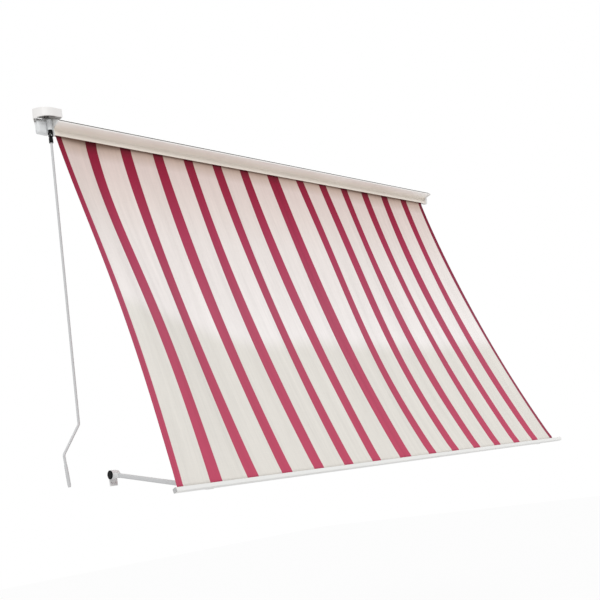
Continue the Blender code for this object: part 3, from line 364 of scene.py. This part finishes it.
def moulded_plastic(name, colour, roughness=0.4, shine=0.5):
    """Moulded plastic: an even colour, a fine spark-eroded grain and slight shine changes."""
    finish = Finish(name)
    finish.set("Specular IOR Level", shine)
    place = finish.place()
    drift = finish.noise(place, 9.0, 2.0)
    grain = finish.noise(place, 1400.0, 3.0, 0.6)
    finish.set("Base Color", finish.shade(colour, 0.96 + 0.05 * drift + 0.03 * grain))
    finish.set("Roughness", roughness - 0.05 + 0.1 * drift + 0.06 * grain)
    finish.bump(grain, 0.25, 0.00015)
    return finish.material


def cast_metal(name, colour):
    """Painted casting: a faintly sandy skin and slow changes of tone."""
    finish = Finish(name)
    place = finish.place()
    skin = finish.noise(place, 180.0, 3.0, 0.6)
    blotch = finish.noise(place, 30.0, 3.0)
    finish.set("Base Color", finish.shade(colour, 0.93 + 0.06 * skin + 0.05 * blotch))
    finish.set("Roughness", 0.42 + 0.16 * skin)
    finish.bump(skin, 0.15, 0.0002)
    return finish.material


def plated_steel(name, colour=(0.62, 0.62, 0.63)):
    """Zinc plated steel: fine drawn lines and a soft spangle."""
    finish = Finish(name, metallic=1.0)
    place = finish.place()
    lines = finish.noise(finish.stretched(place, (1.0, 60.0, 60.0)), 40.0, 3.0, 0.6)
    spangle = finish.node(
        "ShaderNodeTexVoronoi", {"feature": "F1"}, {"Vector": place, "Scale": 260.0}, "Distance"
    )
    finish.set("Base Color", finish.shade(colour, 0.88 + 0.16 * lines + 0.06 * spangle))
    finish.set("Roughness", 0.24 + 0.2 * lines)
    finish.bump(lines, 0.12, 0.0001)
    return finish.material


def striped_cloth(name):
    """Woven cloth: red stripes on a pale ground, slubby warp, hems, seam and stitches.

    The pattern reads the cloth's own map, in metres: across from the middle seam, and down
    from where the cloth leaves the roller.
    """
    size, colour = sizes(), colours()
    finish = Finish(name)
    cloth = finish.node("ShaderNodeUVMap", {"uv_map": STRIPE_UV})
    across = finish.node("ShaderNodeSeparateXYZ", sockets={0: cloth}, out="X")
    down = finish.node("ShaderNodeSeparateXYZ", sockets={0: cloth}, out="Y")
    wander = finish.noise(finish.stretched(cloth, (3.0, 40.0, 1.0)), 6.0, 2.0) - 0.5
    side = abs(across + 0.0012 * wander)

    # Red stripes: an even pitch on both sides of a wider one over the seam
    shifted = side - size.stripe_start
    nearest = (shifted / size.stripe_pitch).maths("ROUND") * size.stripe_pitch
    soft = 0.0012
    half = size.stripe_width / 2
    stripe = finish.ramp(abs(shifted - nearest), half - soft, half + soft, 1.0, 0.0)
    beyond_seam = size.stripe_pitch * 0.6
    outer = finish.ramp(side, beyond_seam - soft, beyond_seam + soft)
    half = size.seam_stripe_width / 2
    seam_stripe = finish.ramp(side, half - soft, half + soft, 1.0, 0.0)
    red = (stripe * outer).maths("MAXIMUM", seam_stripe)

    # Threads: long slubs down the cloth and finer ones across it
    warp = finish.noise(finish.stretched(cloth, (420.0, 14.0, 1.0)), 1.0, 3.0, 0.7)
    broad = finish.noise(finish.stretched(cloth, (60.0, 1.8, 1.0)), 1.0, 3.0, 0.6)
    weft = finish.noise(finish.stretched(cloth, (10.0, 500.0, 1.0)), 1.0, 2.0)
    threads = 0.80 + 0.14 * warp + 0.20 * broad + 0.05 * weft

    # Painted shade and light: both colours are painted dark where the hood shades the cloth, and
    # lighten towards the bar. Above a soft, slanting edge, painted light stands for daylight
    # through the cloth.
    wave = finish.noise(finish.stretched(cloth, (1.6, 0.8, 1.0)), 1.0, 2.0) - 0.5
    low = 1.03 - 0.18 * finish.ramp(across, -1.25, -0.45, 1.0, 0.0) + 0.10 * wave
    painted_daylight = finish.ramp(down - low, -0.05, 0.06, 1.0, 0.0)
    pale_light_and_shade_stops = [
        (0.00, linear(120, 92, 78)), (0.035, linear(150, 122, 106)),
        (0.055, linear(200, 178, 166)), (0.09, linear(226, 208, 202)),
        (0.20, linear(234, 221, 215)), (0.32, linear(241, 233, 229)),
        (0.62, linear(249, 244, 242)),
    ]
    red_light_and_shade_stops = [
        (0.00, linear(70, 18, 24)), (0.035, linear(96, 26, 34)), (0.07, linear(142, 30, 56)),
        (0.14, linear(156, 40, 68)), (0.30, linear(174, 62, 91)), (0.52, linear(183, 82, 107)),
        (1.00, colour.red),
    ]
    lit = finish.node("ShaderNodeValToRGB", {"stops": pale_light_and_shade_stops}, {0: down / CLOTH_LENGTH})
    lit_and_shaded_red = finish.node("ShaderNodeValToRGB", {"stops": red_light_and_shade_stops}, {0: down / CLOTH_LENGTH})
    # Painted shade: the red of the last stripe at the right edge is darkened
    right_edge_shade = finish.ramp(across, 1.12, 1.15)
    lit_and_shaded_red = finish.mix(right_edge_shade * 0.45, lit_and_shaded_red, linear(96, 22, 46))
    pale = finish.mix(painted_daylight, colour.pale, lit)
    ground = finish.mix(red, pale, lit_and_shaded_red)

    # Double cloth at the side hems and the seam, each with a row of stitches
    edge = size.cloth_width / 2
    hem = finish.ramp(side, edge - 0.0150, edge - 0.0142)
    seam = finish.ramp(side, 0.0068, 0.0076, 1.0, 0.0)
    double = hem.maths("MAXIMUM", seam)
    dash = finish.ramp((down / STITCH_LENGTH).maths("FRACT"), 0.62, 0.68, 1.0, 0.0)
    hem_row, seam_row = (
        finish.ramp(abs(side - row), 0.0003, 0.0006, 1.0, 0.0) for row in (edge - 0.0125, 0.0052)
    )
    stitch = hem_row.maths("MAXIMUM", seam_row) * dash
    toned = finish.shade(ground, threads - 0.05 * double)
    thread = finish.shade(ground, 0.80)
    finish.set("Base Color", finish.mix(stitch * 0.8, toned, thread))
    finish.set("Roughness", 0.74 + 0.16 * warp)
    finish.set("Specular IOR Level", 0.15)
    thread_turn = 2 * math.pi / THREAD_PITCH
    over = (across * thread_turn).maths("SINE")
    under = (down * thread_turn).maths("SINE")
    height = 0.35 * over * under + 0.5 * warp + 1.2 * double + 0.8 * stitch
    finish.bump(height, 0.5, 0.00035)
    return finish.material


# Surfaces


def grid_piece(name, points, material, uv=None, around=False, along=False, capped=False):
    """A mesh on a grid of points, whose rows or columns may close on themselves.

    uv, where given, holds one place for every corner of the closed grid. The faces of a
    closed shape are turned outwards, by the sign of the volume that they enclose.
    """
    rows, columns = points.shape[:2]
    index = np.arange(rows * columns).reshape(rows, columns)
    if around:
        index = np.hstack([index, index[:, :1]])
    if along:
        index = np.vstack([index, index[:1]])

    def corners(grid):
        parts = (grid[:-1, :-1], grid[1:, :-1], grid[1:, 1:], grid[:-1, 1:])
        return np.stack(parts, axis=2).reshape(-1, 4, *grid.shape[2:])

    quads = corners(index)
    flat = points.reshape(-1, 3)
    a, b, c, d = (flat[quads[:, i]] for i in range(4))
    volume = np.einsum("ij,ij->", a, np.cross(b, c)) + np.einsum("ij,ij->", a, np.cross(c, d))
    flip = around and volume < 0
    faces = (quads[:, ::-1] if flip else quads).tolist()
    if capped:
        first, last = index[0, :-1].tolist(), index[-1, :-1].tolist()
        faces += [first, last[::-1]] if flip else [first[::-1], last]
    mesh = bpy.data.meshes.new(name)
    mesh.from_pydata(flat.tolist(), [], faces)
    if uv is not None:
        layer = mesh.uv_layers.new(name=STRIPE_UV)
        values = np.zeros((len(mesh.loops), 2))
        places = corners(uv)
        places = places[:, ::-1] if flip else places
        values[: places.shape[0] * 4] = places.reshape(-1, 2)
        layer.data.foreach_set("uv", values.ravel())
    mesh.shade_smooth()
    mesh.set_sharp_from_angle(angle=math.radians(38))
    mesh.materials.append(material)
    piece = bpy.data.objects.new(name, mesh)
    bpy.context.scene.collection.objects.link(piece)
    return piece


def turned_piece(name, profile, centre, material, around=24):
    """A profile of radius and height turned about an axis along X through a centre.

    Each point lies at the height along X, and at the radius times the cosine and sine of the
    turn along Y and Z.
    """
    profile = np.array(profile)
    turn = np.linspace(0, 2 * math.pi, around, endpoint=False)
    y = profile[:, :1] * np.cos(turn)
    z = profile[:, :1] * np.sin(turn)
    x = np.repeat(profile[:, 1:], around, axis=1)
    points = np.stack((x, y, z), axis=-1) + np.array(centre)
    return grid_piece(name, points, material, around=True, capped=True)


def swept_piece(name, path, radius, material, around=32):
    """A round section carried along a path that stays in one plane of constant Y.

    Each point is the path's point plus the radius times the cosine of the turn along Y and
    its sine along the path's own normal in the plane.
    """
    tangent = np.gradient(path, axis=0)
    tangent /= np.linalg.norm(tangent, axis=1)[:, None]
    out = np.array([0.0, 1.0, 0.0])
    normal = np.cross(tangent, out)
    turn = np.linspace(0, 2 * math.pi, around, endpoint=False)
    ring = np.cos(turn)[None, :, None] * out + np.sin(turn)[None, :, None] * normal[:, None]
    points = path[:, None] + radius * ring
    return grid_piece(name, points, material, around=True, capped=True)


def extruded_piece(name, outline, low, high, material):
    """An outline in Y and Z carried straight along X."""
    ends = [np.c_[np.full(len(outline), x), outline] for x in (low, high)]
    return grid_piece(name, np.stack(ends), material, around=True, capped=True)


def rounded_path(corners, radius, steps=14):
    """A path in X and Z through corners, each rounded by an arc of the radius.

    The arc runs from one tangent point to the other, at the radius from its centre on the
    corner's bisector.
    """
    corners = [np.array(c, dtype=float) for c in corners]
    points = [corners[0]]
    for before, corner, after in zip(corners, corners[1:], corners[2:]):
        back = (before - corner) / np.linalg.norm(before - corner)
        ahead = (after - corner) / np.linalg.norm(after - corner)
        half = math.acos(float(np.clip(back @ ahead, -1, 1))) / 2
        bisector = (back + ahead) / np.linalg.norm(back + ahead)
        centre = corner + bisector * radius / math.sin(half)
        start = corner + back * radius / math.tan(half)
        end = corner + ahead * radius / math.tan(half)
        share = np.linspace(0, 1, steps)[:, None]
        chord = start * (1 - share) + end * share - centre
        points.extend(centre + chord / np.linalg.norm(chord, axis=1)[:, None] * radius)
    points.append(corners[-1])
    return np.array(points)


# The cloth's line


def smooth_step(value):
    """Rises from 0 to 1 as the value does, level at both ends: 3v^2 - 2v^3."""
    value = np.clip(value, 0, 1)
    return value * value * (3 - 2 * value)


def bell(distance, breadth):
    """Falls from 1 at no distance: e to the power of minus the squared share of the breadth."""
    return np.exp(-((distance / breadth) ** 2))


def cloth_line(tip):
    """Where the cloth leaves the roll and enters the bar, and its lean, for one arm tip.

    The cloth is tangent to the roll, and the bar leans with it, so the lean is found by
    repeating the tangent's formula.
    """
    radius = sizes().roll_radius + CLOTH_OFF_ROLL
    lean = math.radians(20)
    for _ in range(40):
        slot = tip + SLOT_ABOVE * np.array([math.sin(lean), math.cos(lean)])
        slot = slot - SLOT_BEHIND * np.array([math.cos(lean), -math.sin(lean)])
        reach = ROLLER[1:] - slot
        lean = math.acos(radius / np.linalg.norm(reach)) - math.atan2(reach[1], reach[0])
    leave = ROLLER[1:] + radius * np.array([-math.cos(lean), math.sin(lean)])
    return leave, slot, lean


def raised_tip():
    """The arm's tip at the upper end of its swing: turned about the wall pivot."""
    joint = JOINTS["arm_swing"]
    pivot = np.array(joint["pos_m"])[1:]
    turn = -math.radians(joint["range_deg"][1])
    arm = ARM_TIP[1:] - pivot
    turned = [
        arm[0] * math.cos(turn) - arm[1] * math.sin(turn),
        arm[0] * math.sin(turn) + arm[1] * math.cos(turn),
    ]
    return pivot + np.array(turned)


def cloth_surface(across, down):
    """The cloth between roll and bar, from two parameters that run from 0 to 1.

    Along the straight line from roll to bar it is pushed in towards the wall by a parabola,
    deepest in the middle, shallower at the side edges and deeper again towards the right. The
    sag is faded out at both ends, where the cloth lies straight on the roll and in the bar.
    The side edges draw in by the same parabola. A long wave, one period of a sine down the
    cloth and a bell across it, lies beside the left edge, with its upper half shorter than its
    lower one. A lower wave lies right of the middle. Shallow ripples run down the cloth.
    """
    size = sizes()
    leave, slot, lean = cloth_line(ARM_TIP[1:])
    half = size.cloth_width / 2
    x = (across * 2 - 1) * half
    free = smooth_step(down / STRAIGHT_AT_ROLL) * smooth_step((1 - down) / STRAIGHT_AT_BAR)
    belly = 4 * down * (1 - down) * free
    edge = bell(half - np.abs(x), EDGE_REACH)
    sag = size.sag_middle + (size.sag_edge - size.sag_middle) * edge
    sag = sag + size.sag_right * smooth_step(x / RIGHT_REACH)
    sag = sag * belly
    left_wave = np.sin(2 * math.pi * down**0.75) * bell(x - EDGE_WAVE_X, EDGE_WAVE_BREADTH)
    right_wave = np.sin(2 * math.pi * down) * bell(x - MIDDLE_WAVE_X, MIDDLE_WAVE_BREADTH)
    sag = sag + size.edge_wave * left_wave * free - size.middle_wave * right_wave * free
    ripple = 0.0028 * np.sin(2 * math.pi * 9 * across + 3 * down)
    ripple = ripple + 0.0016 * np.sin(2 * math.pi * 23 * across + 5 * down)
    out = belly * ripple - sag
    y = leave[0] + (slot[0] - leave[0]) * down - out * math.cos(lean)
    z = leave[1] + (slot[1] - leave[1]) * down + out * math.sin(lean)
    x = x - np.sign(x) * size.waist * belly * edge
    return np.stack([x, y, z], axis=-1)


# Operators


def dress(nodes, material):
    """Gives a material to nodes of the frame."""
    for name in nodes:
        for material_slot in frame["nodes"][name].material_slots:
            material_slot.material = material


class AWNING_OT_finishes(bpy.types.Operator):
    """Gives every solid part of the frame its coat, plastic or plating"""

    bl_idname = "awning.finishes"
    bl_label = "Finish the Solid Parts"

    def execute(self, context):
        colour = colours()
        sides = ("left", "right")
        dress(["hood"], hood_coat("hood_coat", colour.cream))
        dress(["wall_rail"], coated_metal("cream_coat", colour.cream))
        white_coat = coated_metal("white_coat", colour.white, roughness=0.32)
        dress(["front_bar", "left_bracket", "right_bracket"], white_coat)
        dress([f"{side}_bar_clamp" for side in sides], white_coat)
        white = moulded_plastic("white_plastic", colour.moulded, 0.35)
        dress(["left_cap", "right_cap", "bar_cap_right"], white)
        dress([f"{side}_arm_tip" for side in sides], moulded_plastic("cream_plastic", colour.cream))
        dress(["gear_casing"], moulded_plastic("grey_plastic", colour.casing, 0.42))
        dress(["bar_cap_left"], moulded_plastic("bar_cap_grey", colour.bar_end, 0.45))
        grey_coat = coated_metal("grey_coat", colour.grey, (12.0, 1.0, 12.0))
        dress([f"{side}_arm_tube" for side in sides], grey_coat)
        cast = cast_metal("cast_grey", colour.cast)
        dress([f"{side}_arm_{part}" for side in sides for part in ("bracket", "knuckle")], cast)
        black = moulded_plastic("black_plastic", colour.black, 0.5, shine=0.12)
        dress(["drive_fork", "crank_fork", "left_bush", "right_bush"], black)
        dress([f"{side}_pivot_cap" for side in sides], black)
        dark = moulded_plastic("dark_grey_plastic", colour.dark, 0.5)
        dress(["hem_rod", "roller_plug_left", "roller_plug_right"], dark)
        steel = plated_steel("plated_steel")
        dress(["roller_tube", "worm", "joint_cross", "grip_pin"], steel)
        pins = [f"{side}_{part}_pin" for side in sides for part in ("pivot", "tip")]
        screws = [f"rail_screw_{i}" for i in (1, 2, 3)]
        screws += [f"{side}_{part}_screw_{i}" for side in sides for part in ("arm", "bracket")
                   for i in (1, 2)]
        dress(pins + screws, steel)
        dress(["worm_wheel"], plated_steel("wheel_brass", (0.65, 0.48, 0.20)))
        return {"FINISHED"}


class AWNING_OT_cloth(bpy.types.Operator):
    """Hangs the striped cloth from the roll to the bar"""

    bl_idname = "awning.cloth"
    bl_label = "Hang the Cloth"
    columns = 220
    rows = 96

    def execute(self, context):
        size = sizes()
        leave, slot, lean = cloth_line(ARM_TIP[1:])
        length = float(np.linalg.norm(leave - slot))
        end = 1 - HEM_CLEARANCE / length
        across, down = np.meshgrid(
            np.linspace(0, 1, self.columns + 1), np.linspace(0, end, self.rows + 1)
        )
        points = cloth_surface(across, down)
        uv = np.stack([(across - 0.5) * size.cloth_width, down * length], axis=-1)
        cloth = grid_piece("striped_cloth", points, striped_cloth("striped_cloth"), uv)
        wall = cloth.modifiers.new("Thickness", "SOLIDIFY")
        wall.thickness = size.cloth_thickness
        wall.offset = 0.0
        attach(cloth, "frame")
        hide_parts("fabric_sheet")
        # The raised cloth touches the roll lower down. Both lines cross beside the roll. The share
        # that would keep that crossing in place while the hem follows the bar is worked out, but
        # nothing uses it.
        _, raised_slot, raised_lean = cloth_line(raised_tip())
        hem = slot + HEM_CLEARANCE * np.array([math.sin(lean), math.cos(lean)])
        raised = np.array([math.sin(raised_lean), math.cos(raised_lean)])
        travel = raised_slot + HEM_CLEARANCE * raised - hem
        distance = float(np.linalg.norm(travel))
        direction = travel / distance
        radius = float(np.linalg.norm(leave - ROLLER[1:]))
        down_line = (slot - leave) / length
        crossing = leave + down_line * radius * math.tan((lean - raised_lean) / 2)
        keep = 1 - distance / float((crossing - hem) @ direction)
        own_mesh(cloth)
        return {"FINISHED"}


class AWNING_OT_cloth_turns(bpy.types.Operator):
    """Winds the turns of cloth on the roller"""

    bl_idname = "awning.cloth_turns"
    bl_label = "Wind the Roller"
    around = 72
    columns = 120

    def execute(self, context):
        """The outside shrinks by one thickness over a turn, then steps back out at the edge.

        Loops stand along the roller for the outside, then back again for the bore, so that the
        ring is closed. Each point lies at its radius times the cosine and sine of the turn.
        """
        size = sizes()
        low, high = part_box("fabric_roll")
        lean = cloth_line(ARM_TIP[1:])[2]
        start = math.pi - lean
        turn = np.linspace(0, 2 * math.pi, self.around + 1)[:-1]
        outside = size.roll_radius - size.cloth_thickness * turn / (2 * math.pi)
        x = np.linspace(low[0], high[0], self.columns + 1)
        along = np.r_[x, x[::-1]]
        radius = np.repeat([outside, np.full_like(outside, ROLL_BORE)], len(x), axis=0)
        y = ROLLER[1] + radius * np.cos(start + turn)
        z = ROLLER[2] + radius * np.sin(start + turn)
        points = np.stack([np.broadcast_to(along[:, None], y.shape), y, z], axis=-1)
        wound = np.r_[turn, 2 * math.pi] * size.roll_radius
        uv = np.stack(np.meshgrid(np.r_[along, x[:1]], wound, indexing="ij"), axis=-1)
        roll = grid_piece(
            "cloth_turns", points, bpy.data.materials["striped_cloth"], uv, around=True,
            along=True,
        )
        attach(roll, "roller")
        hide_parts("fabric_roll")
        return {"FINISHED"}


class AWNING_OT_crank(bpy.types.Operator):
    """Bends the crank rod and turns the ribbed sleeve on its handle"""

    bl_idname = "awning.crank"
    bl_label = "Make the Crank"
    grip_gap = 0.0007
    grip_length = 0.0829
    grip_bore = 0.0043
    grip_end = 0.0057
    ribs = 11
    rib_height = 0.0003

    def execute(self, context):
        """The rod is swept along its bent path. The sleeve turns about the handle's line.

        Its radius swells from the upper end by a sine, carries a cosine for the ribs, and
        falls off exponentially at both ends. It closes on itself through the bore.
        """
        size, colour = sizes(), colours()
        x, y = CRANK_JOINT[:2]
        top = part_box("crank_rod")[1][2]
        lower_bend = GRIP_PLACE + GRIP_LINE * size.rod_handle
        path = rounded_path(
            [(x, top), (x, top - size.rod_straight), lower_bend[[0, 2]], GRIP_PLACE[[0, 2]]],
            size.rod_bend,
        )
        straight = np.linspace(path[0], path[1], 12)[:-1]
        path = np.vstack([straight, path[1:]])
        path = np.c_[path[:, 0], np.full(len(path), y), path[:, 1]]
        coat = coated_metal("rod_coat", colour.grey, (12.0, 12.0, 1.0), 0.3)
        rod = swept_piece("bent_rod", path, size.rod_radius, coat)
        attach(rod, "crank")
        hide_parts("crank_rod")

        share = np.linspace(0, 1, 60)
        ribbed = np.abs(share - 0.5) < 0.4
        ribs = self.rib_height * np.cos(2 * math.pi * self.ribs * share) * ribbed
        swell = self.grip_end + (size.grip_radius - 0.0060) * np.sin(share * math.pi * 0.72)
        rounding = 0.0010 * (np.exp(-share / 0.02) + np.exp(-(1 - share) / 0.02))
        radius = np.r_[self.grip_bore, swell + ribs - rounding, self.grip_bore]
        drop = self.grip_gap + self.grip_length * np.r_[0, share, 1]
        turn = np.linspace(0, 2 * math.pi, 40, endpoint=False)
        side = np.array([0.0, 1.0, 0.0])
        ahead = np.cross(side, GRIP_LINE)
        ring = np.cos(turn)[:, None] * side + np.sin(turn)[:, None] * ahead
        points = GRIP_PLACE - drop[:, None, None] * GRIP_LINE + radius[:, None, None] * ring
        grip = grid_piece(
            "ribbed_grip", points, moulded_plastic("grip_plastic", colour.grey, 0.45),
            around=True, along=True,
        )
        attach(grip, "grip")
        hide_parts("crank_grip")
        return {"FINISHED"}


class AWNING_OT_trim(bpy.types.Operator):
    """Adds a dark bead of painted shade along the hood's nose, and the screws of the gear casing"""

    bl_idname = "awning.trim"
    bl_label = "Add Seal and Casing Screws"
    nose_radius = 0.004
    shadow_line_radius = 0.0022
    shadow_line_tilt = math.radians(52)
    screw_places = ((-0.062, -0.024), (-0.056, -0.058))
    screw_radius = 0.0032
    screw_height = 0.0016

    def execute(self, context):
        """A round dark bead, painted shade for the line along the nose, centred on its upper front.
        """
        mesh = frame["nodes"]["hood"].data
        places = np.zeros(len(mesh.vertices) * 3)
        mesh.vertices.foreach_get("co", places)
        places = places.reshape(-1, 3)
        low, high = places.min(axis=0), places.max(axis=0)
        nose = places[places[:, 1] < low[1] + 0.0002].mean(axis=0)
        tilt = self.shadow_line_tilt
        centre_y = nose[1] + self.nose_radius - self.nose_radius * math.cos(tilt)
        centre_z = nose[2] + self.nose_radius * math.sin(tilt)
        turn = np.linspace(0, 2 * math.pi, 16, endpoint=False)
        ring = self.shadow_line_radius * np.c_[np.cos(turn), np.sin(turn)]
        outline = np.array([centre_y, centre_z]) + ring
        # Painted shade: a near-black bead stands for the shadow line along the hood's nose
        shadow_bead = extruded_piece(
            "hood_shadow_line", outline, low[0] + 0.001, high[0] - 0.001,
            moulded_plastic("shadow_line_dark", linear(40, 36, 33), 0.7, shine=0.2),
        )
        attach(shadow_bead, "frame")

        outer_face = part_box("gear_casing")[0][0]
        radius, height = self.screw_radius, self.screw_height
        profile = [
            (0.0008, height * 0.55), (0.0012, height), (radius * 0.6, height),
            (radius, height * 0.5), (radius, -0.0004), (0.0008, -0.0004),
        ]
        profile = [(r, outer_face - h) for r, h in profile]
        steel = bpy.data.materials["plated_steel"]
        for i, (y, z) in enumerate(self.screw_places):
            screw = turned_piece(f"casing_screw_{i + 1}", profile, (0, y, z), steel)
            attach(screw, "frame")
        return {"FINISHED"}


class AWNING_OT_stage(bpy.types.Operator):
    """Sets up the floor, the soft light and the camera"""

    bl_idname = "awning.stage"
    bl_label = "Set the Stage"
    eye = (-2.997, -3.082, -1.610)
    right = (0.71460867, -0.68373336, -0.14779423)
    up = (-0.03900514, -0.24989619, 0.96748669)
    forward = (0.69843614, 0.68560964, 0.2052471)
    lens = 53.886
    # Strength of the surroundings for soft light, and where they are seen or mirrored
    lighting_strength = 0.62
    seen_strength = 1.0
    sun_strength = 1.15
    floor_reach = 14.0
    floor_level = -2.6

    def execute(self, context):
        scene = bpy.context.scene
        scene.view_settings.view_transform = "Standard"
        camera_data = bpy.data.cameras.new("camera")
        camera_data.lens = self.lens
        camera_data.sensor_width = 36.0
        camera_data.clip_end = 100.0
        camera = bpy.data.objects.new("camera", camera_data)
        backward = [-v for v in self.forward]
        columns = (self.right, self.up, backward, self.eye)
        rows = [[column[i] for column in columns] for i in range(3)]
        camera.matrix_world = Matrix([*rows, [0, 0, 0, 1]])
        scene.collection.objects.link(camera)
        scene.camera = camera

        world = bpy.data.worlds.new("studio")
        world.use_nodes = True
        tree = world.node_tree
        background = tree.nodes["Background"]
        path = tree.nodes.new("ShaderNodeLightPath")
        rays = [path.outputs[f"Is {kind} Ray"] for kind in ("Camera", "Glossy", "Transmission")]
        seen = rays[0]
        for ray in rays[1:]:
            either = tree.nodes.new("ShaderNodeMath")
            either.operation = "MAXIMUM"
            tree.links.new(seen, either.inputs[0])
            tree.links.new(ray, either.inputs[1])
            seen = either.outputs[0]
        level = tree.nodes.new("ShaderNodeMapRange")
        level.inputs["To Min"].default_value = self.lighting_strength
        level.inputs["To Max"].default_value = self.seen_strength
        tree.links.new(seen, level.inputs["Value"])
        tree.links.new(level.outputs[0], background.inputs["Strength"])
        background.inputs["Color"].default_value = (1.0, 1.0, 1.0, 1.0)
        scene.world = world

        key_data = bpy.data.lights.new("key", "SUN")
        key_data.energy = self.sun_strength
        key_data.angle = math.radians(24)
        key = bpy.data.objects.new("key", key_data)
        key.rotation_euler = (math.radians(52), math.radians(-8), math.radians(-38))
        scene.collection.objects.link(key)

        finish = Finish("floor")
        finish.set("Roughness", 0.9)
        finish.set("Base Color", (0.92, 0.92, 0.92))
        glow = finish.tree.nodes.new("ShaderNodeEmission")
        glow.inputs["Color"].default_value = (1.0, 1.0, 1.0, 1.0)
        glow.inputs["Strength"].default_value = 1.0
        seen = finish.node("ShaderNodeLightPath", out="Is Camera Ray")
        blend = finish.node(
            "ShaderNodeMixShader",
            sockets={
                0: seen * 0.9,
                1: Wire(finish, finish.shader.outputs[0]),
                2: Wire(finish, glow.outputs[0]),
            },
        )
        output = finish.tree.nodes["Material Output"]
        finish.tree.links.new(blend.socket, output.inputs["Surface"])
        grid = np.linspace(-self.floor_reach, self.floor_reach, 3)
        x, y = np.meshgrid(grid, grid)
        points = np.stack([x, y, np.full_like(x, self.floor_level)], axis=-1)
        floor = grid_piece("floor", points, finish.material)
        return {"FINISHED"}


class AWNING_PT_panel(bpy.types.Panel):
    """Sizes, colours and the steps that build the awning"""

    bl_idname = "AWNING_PT_panel"
    bl_label = "Drop-Arm Awning"
    bl_space_type = "VIEW_3D"
    bl_region_type = "UI"
    bl_category = "Awning"

    def draw(self, context):
        for settings in (sizes(), colours()):
            column = self.layout.column(align=True)
            for name in settings.__annotations__:
                column.prop(settings, name)
        column = self.layout.column(align=True)
        for operator in OPERATORS:
            column.operator(operator.bl_idname)


OPERATORS = (
    AWNING_OT_finishes,
    AWNING_OT_cloth,
    AWNING_OT_cloth_turns,
    AWNING_OT_crank,
    AWNING_OT_trim,
    AWNING_OT_stage,
)
CLASSES = (AwningSizes, AwningColours, *OPERATORS, AWNING_PT_panel)


def register():
    for item in CLASSES:
        bpy.utils.register_class(item)
    bpy.types.Scene.awning_sizes = bpy.props.PointerProperty(type=AwningSizes)
    bpy.types.Scene.awning_colours = bpy.props.PointerProperty(type=AwningColours)


def unregister():
    del bpy.types.Scene.awning_colours
    del bpy.types.Scene.awning_sizes
    for item in reversed(CLASSES):
        bpy.utils.unregister_class(item)


def main():
    register()
    for operator in OPERATORS:
        group, step = operator.bl_idname.split(".")
        getattr(getattr(bpy.ops, group), step)()


if __name__ == "__main__":
    main()
